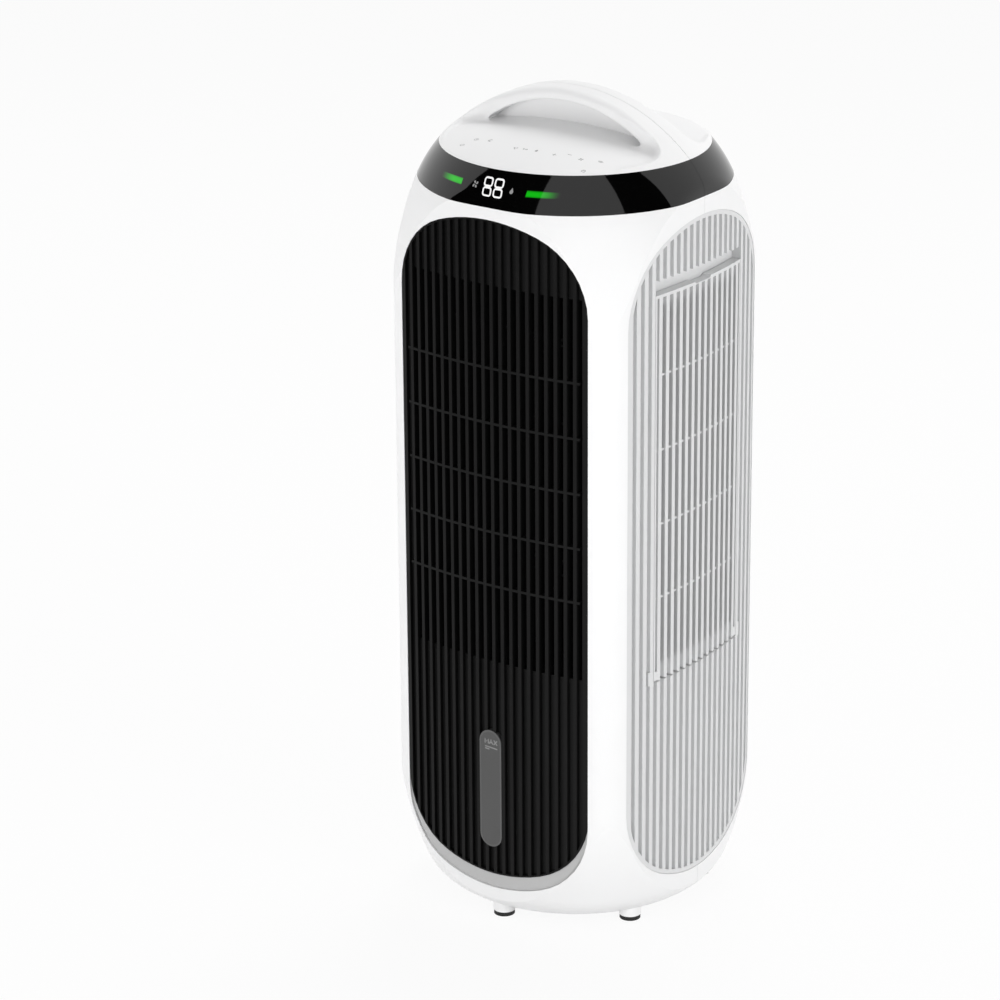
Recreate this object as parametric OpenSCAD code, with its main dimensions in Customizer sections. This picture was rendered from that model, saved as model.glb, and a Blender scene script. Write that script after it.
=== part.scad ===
// Tower air purifier and cooler: a rounded-square column with a turned taper at both ends.
// Front is -Y, the right-hand intake panel faces +X, and the feet stand on z = 0.

/* [Body] */
// Width and depth across the flat faces
body_w = 296; // [292:1:304]
// Overall height, floor to the crown of the handle
total_h = 824; // [820:1:836]
// Plan radius of the four gently bulged faces
face_r = 548; // [520:5:600]
// Plan radius of the four vertical corners
corner_r = 48; // [44:1:54]
// Wall of the moulded casings
wall = 3; // [2.6:0.1:3.4]
// Seam left between a front and a rear casing
seam = 0.3; // [0.2:0.05:0.6]

/* [Turned taper] */
// Room between the four corners and the turned form round them
turn_room = 2.53; // [1.5:0.01:5]
// Height where the lower taper starts
low_taper_z = 165; // [155:1:175]
// Profile radius of the lower taper
low_taper_r = 338; // [325:1:360]
// Radius that rolls the lower taper into the underside
heel_r = 45; // [40:1:48]
// Depth of the upper taper's start below the crown
taper_drop = 230; // [224:1:236]
// Profile radius of the upper taper
high_taper_r = 390; // [380:1:410]
// Slope at which the shoulder takes over from the upper taper, in degrees
shoulder_slope = 20; // [19:0.5:21]
// Profile radius of the shoulder
shoulder_r = 135; // [130:1:140]

/* [Band] */
// Height of the dome above the band
dome_h = 53.5; // [50:0.5:57]
// Height of the glossy band
band_h = 33; // [30:0.5:36]

/* [Handle and deck] */
// Depth of the handle, front face to rear face
grip_d = 44; // [38:1:50]
// Thickness of the handle at mid-span
grip_t = 11.5; // [9:0.5:14]
// Radius of the arch under the handle
grip_arch_r = 150; // [135:1:165]
// Depth of the deck's crown below the crown of the handle
deck_drop = 37; // [35:0.5:40]
// Radius of the deck's gentle crown
deck_crown_r = 570; // [540:5:640]
// Width of the dome left outside both scoops, at its base
scoop_rim = 4; // [3.5:0.1:8]

/* [Feet] */
// Clear height under the casing
foot_h = 7; // [6:0.5:9]
// Diameter of a foot
foot_d = 22; // [18:0.5:24]
// How far the feet stand outside the flat of the underside
foot_out = 13.5; // [12.5:0.5:20]
// Number of feet
foot_count = 6; // [4:2:8]
// Thickness of the rubber pad under each foot
foot_pad_t = 4.5; // [3:0.25:5]

/* [Outlet panel] */
// Distance from the outlet panel's edge to the body's side
outlet_side = 40; // [39.5:0.5:42]
// Height of the panel's lower end
outlet_z = 52; // [50:0.5:55]
// Distance from the panel's upper end to the band
outlet_drop = 12; // [10.5:0.5:15]
// Radius of the panel's corners
outlet_corner_r = 77; // [70:1:84]
// Radius of the panel's crowned ends
outlet_crown_r = 170; // [150:5:240]
// Spacing of the vertical ribs
rib_pitch = 10; // [9.5:0.1:10.2]
// Width of one rib
rib_w = 3.6; // [3:0.1:4.6]
// How far the rib crests sit below the casing's skin
rib_drop = 0.6; // [0.3:0.1:1]
// Depth of the grooves between ribs
groove_d = 4; // [3:0.1:4.4]
// Full thickness of a ribbed panel
panel_t = 8; // [7.4:0.1:8.6]
// Rim round the outlet panel
rim_w = 1.6; // [1.4:0.1:3]
// Clearance between a panel and the casing round it
panel_gap = 0.3; // [0.2:0.05:0.4]
// Flange that laps behind the casing
flange_w = 2.5; // [2:0.25:3]
// Thickness of that flange
flange_t = 2; // [1.5:0.1:2.2]
// Lower edge of the open part of the outlet
open_z = 278; // [272:1:284]
// Distance from the open part's upper edge to the panel's upper end
open_drop = 65; // [62:1:72]
// Width of the closed strip beside the open part
open_side = 8; // [7.5:0.5:18]
// Spacing of the cross bars
bar_pitch = 55.2; // [50:0.2:60]
// Height of one cross bar
bar_h = 2.4; // [2:0.1:3]
// Height of the crescent sill below the panel
sill_h = 14.5; // [12:0.5:15.5]
// How far the sill is set back from the skin
sill_drop = 2; // [1.5:0.1:2.4]

/* [Level window] */
// Width of the water level window
level_w = 26; // [22:0.5:30]
// Lower end of the level window
level_z = 81; // [76:1:90]
// Upper end of the level window
level_top = 206; // [196:1:212]
// Clearance round the window
level_gap = 0.25; // [0.15:0.05:0.4]

/* [Intake panels] */
// Distance from an intake panel's edge to the body's front
intake_side = 38; // [37:0.5:39.5]
// Height of an intake panel's lower end
intake_z = 42.5; // [40.5:0.5:48]
// Distance from an intake panel's upper end to the band
intake_drop = 17; // [15:0.5:20]
// Radius of an intake panel's corners
intake_corner_r = 85; // [76:1:92]
// Radius of an intake panel's crowned ends
intake_crown_r = 140; // [125:5:200]
// Spacing of the intake ribs
intake_pitch = 10.2; // [9.8:0.1:10.3]
// Width of an intake rib
intake_rib_w = 4.6; // [4:0.1:5.2]
// Rim round an intake panel
intake_rim_w = 4.4; // [3:0.1:5]

/* [Filter doors] */
// Number of ribs carried by a filter door
door_ribs = 14; // [12:2:14]
// Height of a door's lower edge
door_z = 266; // [262:1:272]
// Distance from a door's upper edge to the panel's upper end
door_drop = 64; // [62.5:0.5:70]
// Height of the finger slot above a door
slot_h = 13.5; // [11:0.5:14]
// Depth of the finger slot behind the skin
slot_d = 11; // [10:0.5:12]
// Clearance at a door's sides
door_gap = 0.6; // [0.5:0.05:0.8]
// Clearance under a door, which its lower edge swings through
door_foot_gap = 2.2; // [2.1:0.1:3]
// Thickness of a door
door_t = 6; // [5.4:0.1:6.4]
// Width of the finger notch in a door's upper edge
notch_w = 27; // [20:1:34]
// Depth of that notch
notch_h = 2; // [1.5:0.25:4]
// Spacing of a door's cross bars
door_bar_pitch = 75.2; // [70:0.2:78]
// Diameter of a door's hinge pins
hinge_d = 4; // [3.5:0.1:4.4]
// Length of a hinge pin beyond the door
hinge_l = 4; // [3:0.25:5]
// Height of the hinge axis above a door's lower edge
hinge_up = 5; // [4.5:0.1:5.4]
// Clearance round a hinge pin
hinge_gap = 0.3; // [0.2:0.05:0.35]
// Thickness of the dust mesh behind a door
mesh_t = 1.2; // [0.8:0.1:1.6]

/* [Decks] */
// Thickness of the decks
deck_t = 3; // [2.5:0.1:3.5]
// Distance from the decks' edges to the body's sides
deck_in = 22; // [21:0.5:25]
// Height of the tank deck's upper face
tank_deck_z = 60; // [58:0.5:62]
// Height of the fan deck's lower face
fan_deck_z = 210; // [208:0.5:213]
// Height of the bay above the upper deck, up to the band
bay_h = 69.5; // [68.5:0.5:73.5]
// Clearance between the intake panels' flanges and the corner ledges under the decks
ledge_gap = 0.5; // [0.3:0.1:1]
// Thickness of a ledge
ledge_t = 4; // [3:0.25:6]
// Clearance between a deck and the casing
deck_gap = 0.4; // [0.3:0.05:0.6]
// Width of the casing's lip round the base plate
base_lip = 2.34; // [1.8:0.01:6]
// Diameter of the pillars under the tank deck
pillar_d = 14; // [12:0.5:16]
// Distance of a pillar's centre planes from the base plate's edge
pillar_in = 38; // [36:1:44]

/* [Louvres] */
// Number of swing louvres
louvre_count = 6; // [6]
// Width of the frame's side beside the outermost louvres
louvre_side = 7; // [6:0.5:12]
// Gap left between louvres that stand in line
louvre_lap = 1; // [0:0.5:4]
// Thickness of a louvre
louvre_t = 2; // [1.6:0.1:2.4]
// Distance of the louvre pivots behind the front face
louvre_in = 38; // [37:0.5:40]
// Diameter of a louvre pivot
pivot_d = 4; // [3.6:0.1:4.4]
// Clearance round a louvre pivot
pivot_gap = 0.3; // [0.2:0.05:0.4]
// Crank length, pivot to link pin
crank_l = 11; // [10.5:0.1:11.4]
// Diameter of a link pin
link_pin_d = 3; // [2.6:0.1:3.2]
// Width of a link bar
link_w = 8; // [7.6:0.1:8.2]
// Thickness of a link bar
link_t = 3; // [2.6:0.1:3.4]
// Height of the lower link bar above the lower edge of the outlet's opening
link_up = 103; // [92:1:117]
// Distance of the upper link bar below the opening's upper edge
link_down = 55; // [45:1:70]
// Swing to each side, in degrees
swing = 30; // [20:1:30]
// Rail of the louvre frame
rail_t = 6; // [5:0.5:7]

/* [Blower] */
// Diameter of the cross-flow wheel
wheel_d = 104; // [98:1:108]
// Distance of the wheel's axis behind the centre
wheel_y = 8; // [6:0.5:10]
// Number of wheel blades
blade_count = 32; // [24:1:36]
// Radial length of a blade
blade_l = 13; // [11:0.5:14]
// Thickness of a blade
blade_t = 1.2; // [1:0.1:1.6]
// Number of wheel bays between discs
bay_count = 5; // [4:1:6]
// Thickness of a wheel disc
disc_t = 2.5; // [2:0.1:3]
// Diameter of the motor
motor_d = 84; // [78:1:88]
// Height of the motor
motor_h = 32; // [28:1:34]
// Height of the motor's mounting ring
mount_h = 4; // [3:0.5:5]
// Diameter of the wheel's shaft
shaft_d = 8; // [7:0.5:9]
// Running clearance of the shaft
shaft_gap = 0.2; // [0.15:0.05:0.3]
// Clearance between motor and wheel
wheel_gap = 8; // [6:0.5:10]
// Clearance between the wheel and the scroll
scroll_gap = 8; // [6:0.5:9]
// Thickness of the scroll walls
scroll_t = 2.5; // [2:0.1:3]

/* [Pads] */
// Thickness of a cooling pad
pad_t = 18; // [16:0.5:19]
// How far a cooling pad reaches past each side of the filter door
pad_lap = 4; // [0:0.5:6]
// Wall of the tray round a pad
tray_t = 2.5; // [2:0.1:3]
// Distance from a pad tray's outer face to the body's side
tray_in = 23; // [22.5:0.5:25]
// Height of a pad tray's trough
trough_h = 10; // [8:0.5:12]

/* [Water tank] */
// Distance from the tank to the body's left and right sides
tank_side = 48; // [47:0.5:52]
// Distance from the tank to the body's front and back
tank_end = 30; // [29:0.5:34]
// Clear height over the tank's rim, up to the fan deck
tank_room = 13.5; // [11.5:0.5:21.5]
// Wall of the tank
tank_wall = 2.5; // [2:0.1:3]
// Corner radius of the tank
tank_corner_r = 8; // [6:0.5:12]
// Running clearance under the tank
tank_gap = 0.5; // [0.4:0.1:0.8]
// Clearance round the drawer front
drawer_gap = 0.8; // [0.6:0.1:1.2]
// How far the drawer front stands past the tank's sides
drawer_lap = 3; // [2.5:0.1:3.4]
// Width of the finger pull
pull_w = 100; // [80:1:120]
// Height of the finger pull
pull_h = 20; // [17:0.5:22]
// Depth of the finger pull
pull_d = 16; // [13:0.5:18]
// Diameter of the pump
pump_d = 46; // [40:1:50]
// Height of the pump
pump_h = 38; // [32:1:44]
// Clearance between the pump and the tank's rear wall
pump_gap = 6.5; // [4:0.5:9]
// Outer diameter of the riser pipe
riser_d = 8; // [7:0.5:9]
// Bore of the riser pipe
riser_bore = 5; // [4:0.5:6]

/* [Electronics] */
// Width of the display board
display_w = 92; // [80:1:94]
// Height of the display board
display_h = 24; // [20:0.5:25]
// Thickness of the boards
board_t = 1.6; // [1.2:0.1:2]
// Distance from the display board's face to the body's front
display_in = 31; // [30:0.5:34]
// Diameter of the power cable grommet
grommet_d = 14; // [12:0.5:16]
// Bore of the grommet
grommet_bore = 7; // [6:0.5:8]
// Length of the grommet inside and outside the casing
grommet_l = 15; // [13:0.5:18]
// Width of the grommet's inner flange
grommet_lip = 2.5; // [2:0.25:3]
// Distance of the grommet from the centre plane
grommet_x = 70; // [60:1:76]
// Height of the grommet's centre
grommet_z = 40; // [38:0.5:42]

// Width and depth of the control board
control_w = 120; // [100:1:124]
control_d = 64; // [50:1:70]
// Height of the studs under the control board
stud_h = 6; // [4:0.5:9]
// Diameter of a stud
stud_d = 6; // [5:0.5:8]
// Width of a display bracket's upright
bracket_w = 5.5; // [4.5:0.5:6]
// Thickness of the display bracket
bracket_t = 3; // [2:0.25:3.5]
// Length of the bracket's feet
bracket_foot = 16; // [12:1:20]
// Diameter of the swing motor
swing_d = 32; // [28:1:34]
// Height of the swing motor
swing_h = 15; // [12:0.5:18]

/* [Screws] */
// Diameter of a screw's shank
screw_d = 2.9; // [2.5:0.1:3]
// Clearance round a shank in the pieces it passes through
screw_gap = 0.1; // [0.1:0.05:0.2]
// Diameter of a screw's head
screw_head_d = 5.6; // [5:0.1:6]
// Height of a screw's head
screw_head_h = 2; // [1.6:0.1:2.4]
// Distance of a deck screw from the edges of its ledge
screw_in = 2.8; // [2.6:0.1:3.4]
// Length of the screws in the base
base_screw_l = 16; // [12:1:19]

/* [Hidden] */
$fn = 120;
far_reach = 2 * body_w;

// Plan: the face arcs are centred `far` beyond the axis, the corner arcs at +-corner_c
half = body_w / 2;
far = face_r - half;
corner_c = (sqrt(4 * far * far - 8 * (far * far - pow(face_r - corner_r, 2))) - 2 * far) / 4;
corner_a = atan2(corner_c, corner_c + far);
turn_r = corner_c * sqrt(2) + corner_r + turn_room;

// Heights counted down from the crown
band_top = total_h - dome_h;
band_z = band_top - band_h;
high_taper_z = total_h - taper_drop;
grip_under_z = total_h - grip_t;
deck_z = total_h - deck_drop;
outlet_top = band_z - outlet_drop;
intake_top = band_z - intake_drop;
top_deck_z = band_z - bay_h;
open_top = outlet_top - open_drop;
door_top = intake_top - door_drop;

// Profile: centres of the turned arcs, as [radius, height]
low_c = [turn_r - low_taper_r, low_taper_z];
heel_z = foot_h + heel_r;
heel_x = low_c[0] + sqrt(pow(low_taper_r - heel_r, 2) - pow(low_taper_z - heel_z, 2));
high_c = [turn_r - high_taper_r, high_taper_z];
shoulder_c = high_c + (high_taper_r - shoulder_r) * [cos(shoulder_slope), sin(shoulder_slope)];
dome_base_r = shoulder_c[0] + sqrt(pow(shoulder_r, 2) - pow(band_top - shoulder_c[1], 2));
dome_r = (pow(dome_base_r, 2) + pow(dome_h, 2)) / (2 * dome_h);
dome_c = total_h - dome_r;
scoop_r = dome_base_r - scoop_rim;
foot_ring_r = heel_x + foot_out;
base_r = heel_x - base_lip;

// Panels and doors
outlet_w = body_w - 2 * outlet_side;
intake_w = body_w - 2 * intake_side;
open_w = outlet_w - 2 * open_side;
open_mid = (open_z + open_top) / 2;
rib_count = 2 * floor((outlet_w - rib_w + rib_pitch) / (2 * rib_pitch));
intake_ribs = 2 * floor((intake_w - intake_rib_w + intake_pitch) / (2 * intake_pitch));
bar_count = floor((open_top - open_z) / bar_pitch) - 1;
door_bars = floor((door_top - door_z) / door_bar_pitch - 0.5);
door_bar_mid = (door_z + door_top) / 2 + 2;
plate_in = rib_drop + groove_d;
sill_top = outlet_z + end_rise(outlet_w / 2, outlet_corner_r, outlet_crown_r);
door_half = (door_ribs + 1) / 2 * intake_pitch - intake_rib_w / 2 - door_gap;
door_hole = door_half + door_gap;
slot_top = door_top + slot_h;
hinge_z = door_z + hinge_up;
hinge_x = face_at(door_half, rib_drop) - door_t / 2;
mesh_edge = 4;
mesh_w = 2 * (door_half - mesh_edge);
frame_h = 16;
lip_h = 11;
lip_edge = 3;
pin_block = 6;
slot_wall = 2;
corner_steps = 8;
crown_steps = 10;

// Decks and what stands between them
fan_floor = fan_deck_z + deck_t;
upper_floor = top_deck_z + deck_t;
base_floor = foot_h + wall;
ledge_x = intake_w / 2 + flange_w + ledge_gap;
screw_x = ledge_x + screw_in;
screw_hole = screw_d + 2 * screw_gap;
screw_head_gap = 0.5;
deck_half = half - deck_in;
pillar_x = base_r - pillar_in;
tank_rail_h = 12;
tank_rail_w = 2.5;
tank_rail_gap = 1;
tank_rail_end = 24;
tank_deck_end = 6;
base_flange_h = 2.5;

// Louvres
louvre_pitch = (open_w - 2 * louvre_side) / louvre_count;
louvre_chord = louvre_pitch - louvre_lap;
louvre_y = half - louvre_in;
link_z_low = open_z + link_up;
link_z_high = open_top - link_down;
rail_gap = 1;
louvre_end_gap = 0.5;
pivot_foot = 1.5;
pivot_head = 0.5;
rail_z = open_z - rail_t - rail_gap;
rail_top = top_deck_z - rail_t;
louvre_z0 = rail_z + rail_t + louvre_end_gap;
pivot_l = rail_top + rail_t - pivot_head - rail_z - pivot_foot;
louvre_z1 = rail_top - louvre_end_gap;
link_room = 2;
link_notch_h = link_t + 2 * link_room;
link_gap = 0.5;
link_slot = link_pin_d + link_gap;
link_over = 7;
link_travel_y = crank_l * (1 - cos(swing));
post_gap = 3;
post_x = (louvre_count - 1) / 2 * louvre_pitch + louvre_chord / 2 + post_gap;
post_t = 5;
post_in = 14;
rail_in = 8;
frame_skirt_t = 3;
motor_reach = 12;

// Blower
motor_z = fan_floor + mount_h;
wheel_z0 = motor_z + motor_h + wheel_gap;
wheel_top_gap = 12;
wheel_z1 = top_deck_z - wheel_top_gap;
hub_wall = 6;
hub_h = 14;
ring_lap = 3;
blade_in = 0.6;
mount_lap = 6;
mount_ear = 12;
mount_bore_in = 15;
boss_h = 3;
boss_wall = 7;
bearing_wall = 4;
bearing_drop = 2;
wheel_r = wheel_d / 2;
scroll_r = wheel_r + scroll_gap;
scroll_start = 130;
scroll_end = 215;
tongue_start = -32;
tongue_end = 10;

// Tank
tank_w = body_w - 2 * tank_side;
tank_d = body_w - 2 * tank_end;
tank_z = tank_deck_z + tank_gap;
tank_h = fan_deck_z - tank_room - tank_z;
tank_top = tank_z + tank_h;
drawer_half = tank_w / 2 + drawer_lap;
drawer_foot_gap = 0.1;
drawer_z0 = tank_z - drawer_foot_gap + drawer_gap;
drawer_z1 = tank_top + drawer_lap;
drawer_hollow_in = 6;
drawer_floor = 8;
pull_down = 8;
pull_z = drawer_z1 - pull_h / 2 - pull_down;
riser_y = tank_d / 2 - tank_wall - pump_gap - pump_d / 2;
riser_hole = riser_d + 0.6;
riser_tail = 8;
riser_bend = 20;
riser_up = 4;
collar_w = 4;
collar_h = 3;
drip_collar_w = 2.5;
drip_collar_h = 2;
nozzle_wall = 2;
nozzle_down = 6;

// Pads
pad_w = 2 * (door_hole + pad_lap);
tray_x = half - tray_in;
pad_foot = 30;
pad_window = 5;
drip_d = 4;

// Electronics
display_y = half - display_in;
bracket_in = 0.5;
display_lens_w = 36;
display_lens_t = 4;
display_lens_in = 3;
control_gap = 24;
control_bore = 20;
swing_ear = 7;
swing_ear_w = 8;
swing_ear_t = 1.5;
swing_bore_h = 11;

// Distance of a face's skin from the centre plane, at x along the face and `inset` deep
function face_at(x, inset = 0) = sqrt(pow(face_r - inset, 2) - x * x) - far;
// Radius of the lower taper at height z
function low_at(z, inset = 0) = low_c[0] + sqrt(pow(low_taper_r - inset, 2) - pow(z - low_c[1], 2));

// ---- the body form: every casing and panel is cut from it ----

module corner_wedge(l) {
    translate([corner_c, -corner_c])
        polygon([[0, 0], [l * sin(corner_a), -l * cos(corner_a)], [l, -l],
                 [l * cos(corner_a), -l * sin(corner_a)]]);
}

module plan(inset = 0) {
    difference() {
        intersection_for (q = [0:3]) rotate(90 * q) translate([0, far])
            circle(r = face_r - inset, $fn = 360);
        for (q = [0:3]) rotate(90 * q) corner_wedge(4 * corner_r);
    }
    for (q = [0:3]) rotate(90 * q) intersection() {
        translate([corner_c, -corner_c]) circle(r = corner_r - inset);
        corner_wedge(3 * corner_r);
    }
}

module level_strip(z0, z1, r = far_reach) {
    translate([0, z0]) square([r, z1 - z0]);
}

module turned_profile(inset = 0) {
    heel_n = [heel_x, heel_z] - low_c;
    heel_top = low_c[1] + (low_taper_r - inset) * heel_n[1] / (low_taper_r - heel_r);
    shoulder_z = high_c[1] + (high_taper_r - inset) * sin(shoulder_slope);
    level_strip(foot_h + inset, heel_top, heel_x);
    intersection() {
        translate([heel_x, heel_z]) circle(r = heel_r - inset);
        translate([heel_x, 0]) square([far_reach, heel_top]);
    }
    intersection() {
        translate(low_c) circle(r = low_taper_r - inset, $fn = 360);
        level_strip(heel_top, low_taper_z);
    }
    level_strip(low_taper_z, high_taper_z, turn_r - inset);
    intersection() {
        translate(high_c) circle(r = high_taper_r - inset, $fn = 360);
        level_strip(high_taper_z, shoulder_z);
    }
    intersection() {
        translate(shoulder_c) circle(r = shoulder_r - inset, $fn = 180);
        level_strip(shoulder_z, band_top);
    }
}

// The whole column below the dome, with its skin taken in by `inset`
module body_form(inset = 0) {
    intersection() {
        linear_extrude(height = band_top) plan(inset);
        rotate_extrude($fn = 180) turned_profile(inset);
    }
}

module skin(from, to) {
    difference() {
        body_form(from);
        body_form(to);
    }
}

// A skin over the bulge of the front face alone, for pieces that stay clear of the corners
module face_skin(from, to, z0, z1) {
    translate([0, far, z0]) difference() {
        cylinder(r = face_r - from, h = z1 - z0, $fn = 360);
        translate([0, 0, -1]) cylinder(r = face_r - to, h = z1 - z0 + 2, $fn = 360);
    }
}

module slot_outline(w, z0, z1) {
    translate([0, z0 + w / 2]) circle(d = w);
    translate([-w / 2, z0 + w / 2]) square([w, z1 - z0 - w]);
    translate([0, z1 - w / 2]) circle(d = w);
}

// Height of a crowned end, tip to the centres of its corners, for a half-width w
function end_rise(w, r, crown) = crown - sqrt(pow(crown - r, 2) - pow(w - r, 2));

// Points along an arc, from angle a0 to a1, leaving out `skip` steps at both ends
function arc_points(c, r, a0, a1, n, skip = 0) =
    [for (i = [skip:n - skip]) c + r * [cos(a0 + (a1 - a0) * i / n), sin(a0 + (a1 - a0) * i / n)]];

// Half-width w with rounded corners and ends that are arcs of a larger circle
module crowned_outline(w, z0, z1, r, crown) {
    x = w - r;
    rise = end_rise(w, r, crown);
    a = asin(x / (crown - r));
    polygon(concat(
        arc_points([x, z1 - rise], r, 0, 90 - a, corner_steps),
        arc_points([0, z1 - crown], crown, 90 - a, 90 + a, crown_steps, 1),
        arc_points([-x, z1 - rise], r, 90 + a, 180, corner_steps),
        arc_points([-x, z0 + rise], r, 180, 270 - a, corner_steps),
        arc_points([0, z0 + crown], crown, 270 - a, 270 + a, crown_steps, 1),
        arc_points([x, z0 + rise], r, 270 + a, 360, corner_steps)));
}

// The outlet panel's outline, widened by `grow`, with its lower end `down` lower
module outlet_outline(grow = 0, down = 0) {
    crowned_outline(outlet_w / 2 + grow, outlet_z - down - grow, outlet_top + grow,
        outlet_corner_r + grow, outlet_crown_r + grow);
}

// An intake panel's outline, widened by `grow`
module intake_outline(grow = 0) {
    crowned_outline(intake_w / 2 + grow, intake_z - grow, intake_top + grow,
        intake_corner_r + grow, intake_crown_r + grow);
}

// Cuts a drawn outline through the front half of the body
module through_front() {
    rotate([90, 0, 0]) linear_extrude(height = body_w) children();
}

module box(x, y, z) {
    translate([x[0], y[0], z[0]]) cube([x[1] - x[0], y[1] - y[0], z[1] - z[0]]);
}

module front_half() {
    box([-far_reach, far_reach], [-far_reach, -seam / 2], [-1, total_h + 1]);
}

module rear_half() {
    box([-far_reach, far_reach], [seam / 2, far_reach], [-1, total_h + 1]);
}

// ---- casings ----

module foot_places() {
    for (i = [0:foot_count - 1]) rotate(-90 + i * 360 / foot_count)
        translate([foot_ring_r, 0, 0]) children();
}

module corner_ledge(z) {
    for (q = [0:3]) rotate(90 * q)
        box([ledge_x, half], [ledge_x, half], [z - ledge_t, z]);
}

module casing() {
    difference() {
        union() {
            body_form(0);
            foot_places() translate([0, 0, foot_pad_t])
                cylinder(d = foot_d, h = heel_r / 2 - foot_pad_t, $fn = 48);
        }
        body_form(wall);
        translate([0, 0, -1]) cylinder(r = base_r + panel_gap, h = base_floor + 2);
        box([-far_reach, far_reach], [-far_reach, far_reach], [band_z, total_h]);
    }
    intersection() {
        body_form(wall / 2);
        union() {
            corner_ledge(fan_deck_z);
            corner_ledge(top_deck_z);
        }
    }
}

module screw_places() {
    for (x = [-1, 1], y = [-1, 1]) translate([x * screw_x, y * screw_x, 0]) children();
}

module intake_holes() {
    for (a = [90, -90]) rotate(a)
        through_front() intake_outline(panel_gap);
}

module ledge_bores() {
    screw_places() for (z = [fan_deck_z, top_deck_z])
        translate([0, 0, z - ledge_t - 1]) cylinder(d = screw_d, h = ledge_t + 2, $fn = 24);
}

module front_shell() {
    color("white") difference() {
        intersection() { casing(); front_half(); }
        through_front() outlet_outline(panel_gap, sill_h);
        intake_holes();
        ledge_bores();
    }
}

module drawer_outline(grow) {
    r = drawer_lap + grow;
    w = drawer_half + grow;
    for (x = [-1, 1], z = [drawer_z0 - grow + r, drawer_z1 + grow - r])
        translate([x * (w - r), z]) circle(r = r, $fn = 48);
    translate([-w + r, drawer_z0 - grow]) square([2 * (w - r), drawer_z1 - drawer_z0 + 2 * grow]);
    translate([-w, drawer_z0 - grow + r]) square([2 * w, drawer_z1 - drawer_z0 + 2 * (grow - r)]);
}

module rear_shell() {
    color("white") difference() {
        intersection() { casing(); rear_half(); }
        mirror([0, 1, 0]) through_front() drawer_outline(drawer_gap);
        intake_holes();
        ledge_bores();
        translate([grommet_x, 0, grommet_z]) rotate([-90, 0, 0])
            cylinder(d = grommet_d + 0.4, h = body_w, $fn = 48);
    }
}

module band_ring() {
    intersection() {
        skin(0, wall);
        box([-far_reach, far_reach], [-far_reach, far_reach], [band_z, band_top]);
    }
}

module band_front() {
    color("#0b0b0c") intersection() { band_ring(); front_half(); }
}

module band_rear() {
    color("#0b0b0c") intersection() { band_ring(); rear_half(); }
}

// ---- the dome with its scoops and handle ----

// Plan of the front scoop: a disc cut off by the handle's front face
module scoop_outline() {
    intersection() {
        circle(r = scoop_r, $fn = 180);
        translate([-scoop_r, -2 * scoop_r - grip_d / 2]) square(2 * scoop_r);
    }
}

// Spheres lie on their sides, which keeps their poles clear of the cap that is used
module cap(r, c) {
    intersection() {
        translate([0, 0, c]) rotate([90, 0, 0]) sphere(r = r, $fn = 240);
        translate([0, 0, band_top]) cylinder(r = dome_base_r + 1, h = 2 * dome_h);
    }
}

module deck_ball(inset) {
    cap(deck_crown_r - inset, deck_z - deck_crown_r);
}

module dome_ball(inset) {
    cap(dome_r - inset, dome_c);
}

// Front half of the top: a thin crowned deck, and round it the dome less the scoop and the arch
module top_half() {
    intersection() {
        difference() {
            deck_ball(0);
            deck_ball(wall);
        }
        dome_ball(0);
        front_half();
    }
    difference() {
        intersection() {
            dome_ball(0);
            front_half();
        }
        translate([0, 0, band_top - 1]) linear_extrude(height = dome_h + 2) scoop_outline();
        translate([0, grip_d, grip_under_z - grip_arch_r]) rotate([90, 0, 0])
            cylinder(r = grip_arch_r, h = 2 * grip_d, $fn = 240);
    }
}

module top_front() {
    color("white") top_half();
}

module top_rear() {
    color("white") rotate(180) top_half();
}

// ---- ribbed outlet panel, sill and level window ----

module ribs(count, pitch, w) {
    for (i = [0:count - 1])
        translate([(i - (count - 1) / 2) * pitch, 0, 0])
            box([-w / 2, w / 2], [-half, -half / 2], [0, band_z]);
}

module level_outline(grow) {
    slot_outline(level_w + 2 * grow, level_z - grow, level_top + grow);
}

module front_grille() {
    color("#1c1c1d") difference() {
        union() {
            intersection() {
                skin(rib_drop, panel_t);
                through_front() outlet_outline();
                union() {
                    ribs(rib_count, rib_pitch, rib_w);
                    through_front() difference() {
                        outlet_outline();
                        outlet_outline(-rim_w);
                    }
                }
            }
            intersection() {
                skin(plate_in, panel_t);
                through_front() difference() {
                    outlet_outline();
                    translate([-open_w / 2, open_z]) square([open_w, open_top - open_z]);
                }
            }
            intersection() {
                face_skin(rib_drop, panel_t, open_z - 1, open_top + 1);
                for (i = [0:bar_count - 1])
                    translate([0, 0, open_mid + (i - (bar_count - 1) / 2) * bar_pitch])
                        box([-open_w / 2, open_w / 2], [-half, -half / 2], [-bar_h / 2, bar_h / 2]);
            }
            intersection() {
                skin(wall, wall + flange_t);
                through_front() intersection() {
                    difference() {
                        outlet_outline(flange_w);
                        outlet_outline(-rim_w);
                    }
                    translate([-half, sill_top]) square([body_w, outlet_top]);
                }
            }
        }
        through_front() level_outline(level_gap);
    }
}

module front_sill() {
    color("#d6d7d8") intersection() {
        union() {
            intersection() {
                skin(sill_drop, wall + flange_t);
                through_front() outlet_outline(0, sill_h);
            }
            skin(wall, wall + flange_t);
        }
        through_front() intersection() {
            difference() {
                outlet_outline(flange_w, sill_h);
                outlet_outline(panel_gap);
            }
            translate([-half, 0]) square([body_w, sill_top - 1]);
        }
    }
}

module level_window() {
    color("#6a6b6c") {
        intersection() {
            face_skin(rib_drop / 2, panel_t + flange_t, level_z - 1, level_top + 1);
            through_front() level_outline(0);
        }
        intersection() {
            face_skin(panel_t, panel_t + flange_t, level_z - flange_w, level_top + flange_w);
            through_front() level_outline(flange_w - 1);
        }
    }
}

// ---- intake panels and filter doors, drawn facing the front and turned to each side ----

module to_side(s) {
    rotate(s * 90) children();
}

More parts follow.
